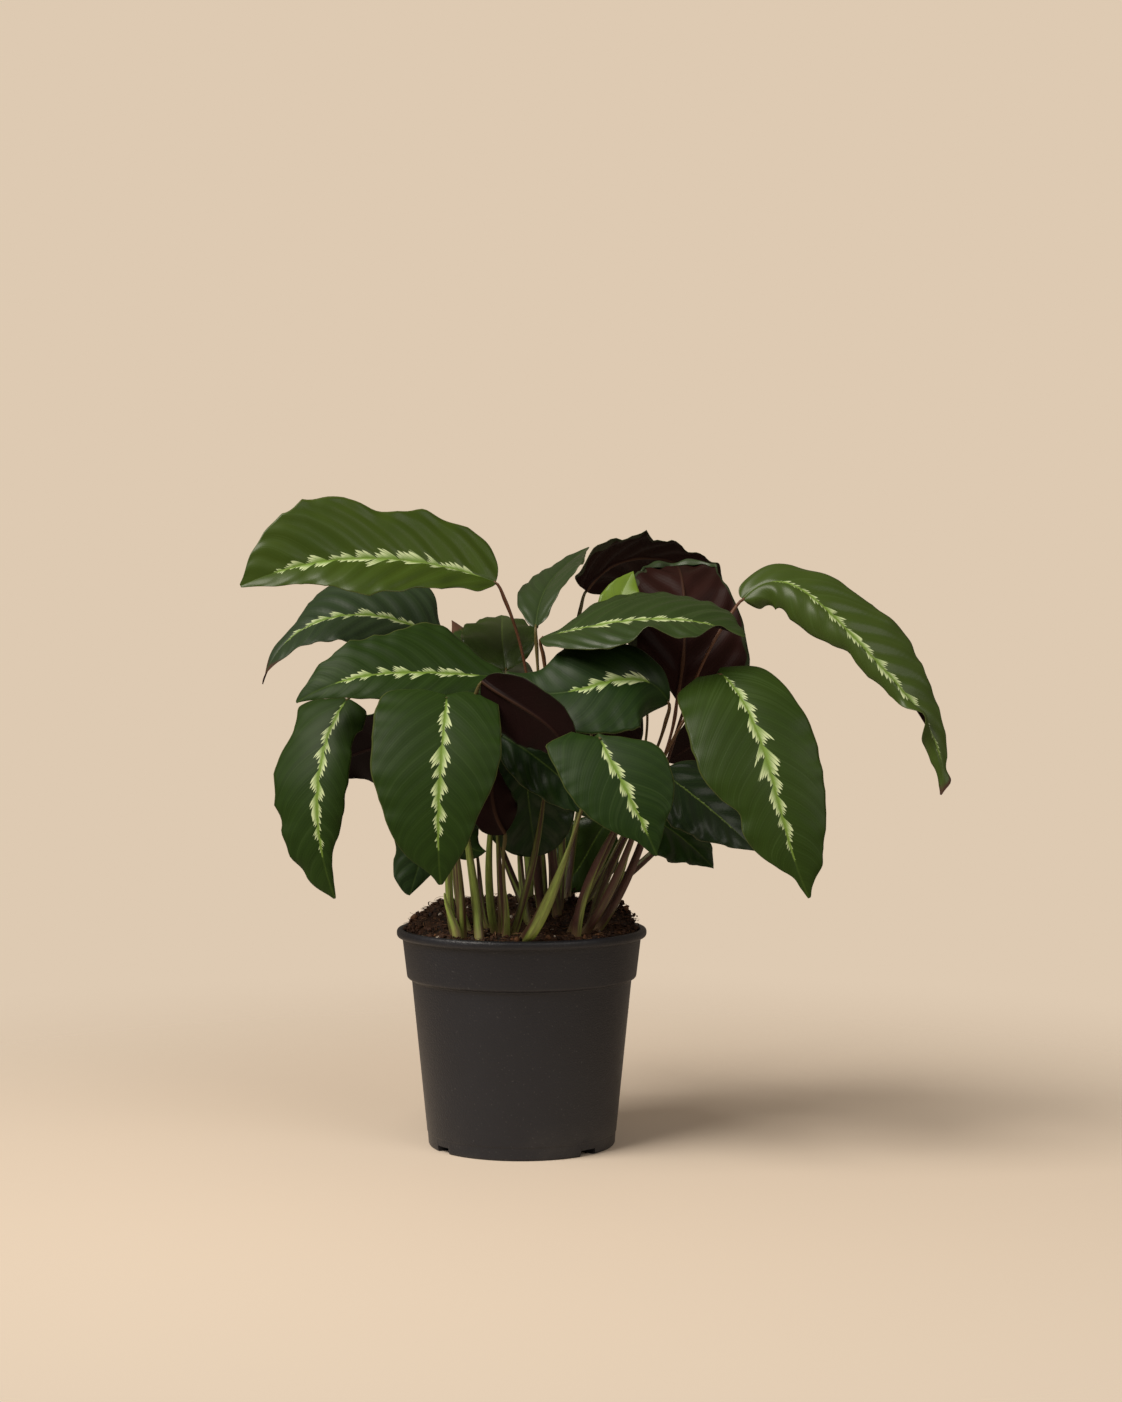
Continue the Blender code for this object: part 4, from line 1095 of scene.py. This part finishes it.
def soilFinish():
    # moist peat: dark brown in uneven tones, and the colour follows the bumps: lighter and redder
    # on the lumps as painted light and almost black in the hollows as painted shade
    finish = Finish("soilPeat", Specular_IOR_Level=0.25)
    place = finish.place()
    coarse, fine = finish.noise(place, 140, 3), finish.noise(place, 700, 3)
    # the colour rises with the same noise as the bump height: painted light on the lumps, painted
    # shade in the hollows
    colour = finish.layers(
        (0.008, 0.004, 0.002), (finish.rise(coarse, 0.35, 0.65), (0.045, 0.021, 0.01)),
        (finish.rise(fine, 0.52, 0.7), (0.085, 0.04, 0.018)),
    )
    return finish.surface(colour, coarse * 0.2 + 0.72, fine + coarse, 0.0012, 0.9)


def crumbFinish(name, dark, light, odd):
    # each crumb has its own tone between the two, and some are of the odd colour
    finish = Finish(name, Specular_IOR_Level=0.3)
    first, second, third = finish.attribute("grain")
    fine = finish.noise(finish.place(), 900, 3)
    colour = finish.layers(
        dark, (first * 0.8 + fine * 0.3, light), (finish.rise(second, 0.86, 0.92), odd),
        (fine * 0.5, (0, 0, 0)),
    )
    return finish.surface(colour, third * 0.2 + 0.65, fine, 0.0006, 0.8)


settle(makeSoil(soilFinish()), "soil", "soil")
for make, name, *colours in (
    (makeCrumbs, "soilCrumb", (0.009, 0.0037, 0.0018), (0.075, 0.028, 0.011), (0.17, 0.075, 0.032)),
    (makeFibres, "soilFibre", (0.022, 0.0095, 0.004), (0.13, 0.055, 0.022), (0.28, 0.15, 0.07)),
    (makePerlite, "soilPerlite", (0.35, 0.29, 0.22), (0.62, 0.54, 0.45), (0.25, 0.16, 0.1)),
):
    settle(make(crumbFinish(name, *colours)), "soil")
print("soil made")


pot = dict(
    height=121.0, lip=70.0, lipHeight=6.0, collar=(66.9, 64.2), collarFoot=93.0, body=(61.6, 52.3),
    floor=2.0, ring=46.0, disc=40.0, channel=3.6, notches=(35, 135, 215, 315), notchWidth=10.0,
    notchMiddle=49.0, notchInner=44.0, drain=2.5, pegSides=24, pegEnds=(1.0, 9.0), spokes=240,
    spacing=4.0, crease=38,
)


def rounded(corners):
    # a profile whose corners (radius, height, rounding) are cut by a quadratic arc:
    # (1 - t)2 a + 2t (1 - t) corner + t2 b
    line = []
    for k, (r, z, size) in enumerate(corners):
        here = np.array((r, z), float)
        if size == 0:
            line.append(here)
            continue
        ways = [np.array(corners[k + step][:2]) - here for step in (-1, 1)]
        a, b = (here + unit(way) * min(size, np.linalg.norm(way) * 0.49) for way in ways)
        line += [(1 - t) ** 2 * a + 2 * t * (1 - t) * here + t**2 * b for t in np.linspace(0, 1, 6)]
    return np.array(line)


def makePot(material):
    # the profile turned around the axis; in the foot ring's notches the profile is lifted
    top, lip, ring, disc, channel = (
        pot[key] for key in ("height", "lip", "ring", "disc", "channel")
    )
    lipFoot = top - pot["lipHeight"]
    collar, collarEnd = pot["collar"]
    collarFoot = pot["collarFoot"]
    step = channel + pot["floor"]
    wide, narrow = pot["body"]
    taper = (wide - narrow) / collarFoot
    corners = [
        (0.5, 2.0, 0), (37.5, 2.0, 1.0), (40.5, step, 1.0),
        (narrow + taper * step - 1.6, step, 1.2),
        (60.0, 94.0, 1.5), (63.1, 98.0, 1.5), (65.3, lipFoot, 2.0), (66.2, top, 1.2),
        (lip, top, 2.3), (lip, lipFoot + 1.4, 2.3), (collar, lipFoot + 1.2, 0.5),
        (collarEnd, collarFoot + 0.8, 1.0), (wide, collarFoot - 0.5, 0.4),
        (narrow + taper * 7.6, 7.6, 0.15), (narrow + taper * 7.2 - 0.3, 7.2, 0.15),
        (narrow - 0.1, 0.0, 1.4), (ring, 0.0, 0.4), (ring, channel, 0.4),
        (disc, channel, 0.4), (disc, 0.0, 0.4), (0.5, 0.0, 0),
    ]
    line = rounded(corners)
    long = runAlong(line)
    spots = np.unique(np.concatenate([long, np.arange(2, long[-1], pot["spacing"])]))
    r, z = (np.interp(spots, long, column)[:, None] for column in line.T)
    half = pot["notchWidth"] / 2 / pot["notchMiddle"]
    middles = np.radians(pot["notches"])
    cuts = (middles[:, None] + np.array([-half - 0.004, -half, half, half + 0.004])).ravel()
    angle = np.unique(np.round(np.concatenate([turns(pot["spokes"]), cuts]), 6))[None, :]
    beside = np.min(np.abs(angle[0][:, None] - middles), axis=1)[None, :]
    outer = (r > pot["notchInner"]) & (spots[:, None] > long[-1] * 0.5)
    lifted = np.where((beside <= half + 1e-6) & outer, np.maximum(z, channel - 0.2), z)
    rings = circled(r, angle, lifted)
    points = np.concatenate([rings[:, ::-1].reshape(-1, 3), [(0, 0, 2.0), (0, 0, 0.0)]])
    faces = ringFaces(*rings.shape[:2])
    return drilled(makePiece("nursery_pot", points, faces, [material], sharp=pot["crease"]))


def drilled(piece):
    # the drain holes: round pegs in the middle of the channel, taken away from the pot
    middle = (pot["ring"] + pot["disc"]) / 2
    ends, sides = np.array(pot["pegEnds"])[:, None], pot["pegSides"]
    pegs = []
    for spot in np.radians(pot["notches"]):
        rings = circled(pot["drain"], turns(sides), ends) + circled(middle, spot, 0)
        points = np.concatenate([rings.reshape(-1, 3), circled(middle, spot, ends[:, 0])])
        peg = makePiece("drain_peg", points, ringFaces(2, sides), [piece.data.materials[0]])
        cut = piece.modifiers.new("drain", "BOOLEAN")
        cut.operation, cut.object, cut.solver = "DIFFERENCE", peg, "EXACT"
        pegs.append(peg)
    bpy.context.view_layer.update()
    graph = bpy.context.evaluated_depsgraph_get()
    whole = bpy.data.meshes.new_from_object(piece.evaluated_get(graph))
    piece.modifiers.clear()
    piece.data = whole
    for peg in pegs:
        bpy.data.objects.remove(peg)
    return piece


def potFinish():
    # charcoal plastic: a fine grain, faint pale specks that are painted highlights where light
    # grazes the pebbled grain, and the roughness of handling and dust
    finish = Finish("potPlastic", Specular_IOR_Level=0.42)
    place = finish.place()
    x, y, z = finish.split(place)
    cloud = finish.noise(place, 24, 4, 0.6)
    grain = finish.noise(place, 1100, 1)
    # painted highlights: pale specks where light catches the pebbled grain
    speck = finish.rise(finish.noise(place, 800, 1), 0.68, 0.78)
    dust = (1 - finish.rise(z, 0.0, 0.022)) * finish.rise(cloud, 0.45, 0.7)
    scuff = finish.noise(finish.join(x * 30, y * 30, z * 260), 2.2, 4, 0.7)
    colour = finish.layers(
        (0.0063, 0.007, 0.0108), (cloud, (0.0118, 0.0129, 0.0185)),
        (speck * 0.45, (0.075, 0.073, 0.075)), (dust * 0.25, (0.1, 0.088, 0.075)),
    )
    rough = cloud * 0.12 + grain * 0.08 + finish.rise(scuff, 0.55, 0.75) * 0.06 + 0.34
    return finish.surface(colour, rough, grain + cloud * 0.3, 0.00028, 0.9)


settle(makePot(potFinish()), "pot_plastic", "pot")
print("pot made")


# in metres; the lights are (place, target, size, power, colour)
studio = dict(
    floorRadius=2.6, floorEdge=96, floorColour=(0.72, 0.615, 0.51), floorCloud=(0.74, 0.61, 0.48),
    fade=(0.12, 0.75), backColour=(0.73, 0.59, 0.445), fill=0.28,
    lights=dict(
        key=((-1.4, -1.15, 1.95), (0, 0, 0.2), 1.7, 80, (1, 0.94, 0.85)),
        soft=((1.3, -1.5, 1.3), (0, 0, 0.15), 1.4, 12, (1, 0.95, 0.88)),
    ),
)


def makeFloor():
    # a plain round floor that fades into the background's colour
    ring = circled(studio["floorRadius"] / mm, turns(studio["floorEdge"]), 0)
    floor = makePiece("floor", ring, [list(range(len(ring)))], [])
    finish = Finish("floorPlaster", Specular_IOR_Level=0.2)
    x, y = finish.split(finish.place())[:2]
    cloud = finish.noise(finish.place(), 5, 5, 0.6)
    colour = finish.mix(cloud * 0.3, studio["floorColour"], studio["floorCloud"])
    finish.shade(Base_Color=colour, Roughness=cloud * 0.1 + 0.6)
    far = finish.rise((x * x + y * y) ** 0.5, *studio["fade"])
    clear = finish.node("ShaderNodeBsdfTransparent", {})
    lit = Signal(finish, finish.shader.outputs[0])
    both = finish.node("ShaderNodeMixShader", {0: far, 1: lit, 2: clear})
    finish.tree.links.new(both.socket, finish.tree.nodes["Material Output"].inputs["Surface"])
    floor.data.materials.append(finish.material)


def makeLight(name, place, target, size, power, colour):
    # a round area light that faces its target
    light = bpy.data.lights.new(name, "AREA")
    light.shape, light.size, light.energy, light.color = "DISK", size, power, colour
    lamp = bpy.data.objects.new(name, light)
    bpy.context.scene.collection.objects.link(lamp)
    lamp.location = place
    away = np.array(place) - np.array(target)
    tilt = math.acos(away[2] / np.linalg.norm(away))
    lamp.rotation_euler = (tilt, 0, math.atan2(away[1], away[0]) + math.pi / 2)


def makeWorld():
    # an even background, which lights the plant by fill and is seen at full strength
    world = bpy.data.worlds.new("studioLight")
    world.use_nodes = True
    background = world.node_tree.nodes["Background"]
    background.inputs["Color"].default_value = (*studio["backColour"], 1)
    seen = world.node_tree.nodes.new("ShaderNodeLightPath").outputs["Is Camera Ray"]
    strength = world.node_tree.nodes.new("ShaderNodeMapRange")
    strength.inputs["To Min"].default_value = studio["fill"]
    world.node_tree.links.new(seen, strength.inputs["Value"])
    world.node_tree.links.new(strength.outputs[0], background.inputs["Strength"])
    bpy.context.scene.world = world


makeFloor()
makeWorld()
for name, light in studio["lights"].items():
    makeLight(name, *light)

# the view is level with the leaves, a little above the pot
lens = dict(place=(0.022, -1.344, 0.2735), down=1.09, length=61.63, sensor=36, near=0.01)
camera = bpy.data.objects.new("camera", bpy.data.cameras.new("camera"))
bpy.context.scene.collection.objects.link(camera)
camera.location = lens["place"]
camera.rotation_euler = (math.radians(90 - lens["down"]), 0, 0)
camera.data.lens = lens["length"]
camera.data.sensor_width = lens["sensor"]
camera.data.clip_start = lens["near"]
bpy.context.scene.camera = camera
bpy.context.scene.view_settings.view_transform = "Standard"
print("light and camera set")
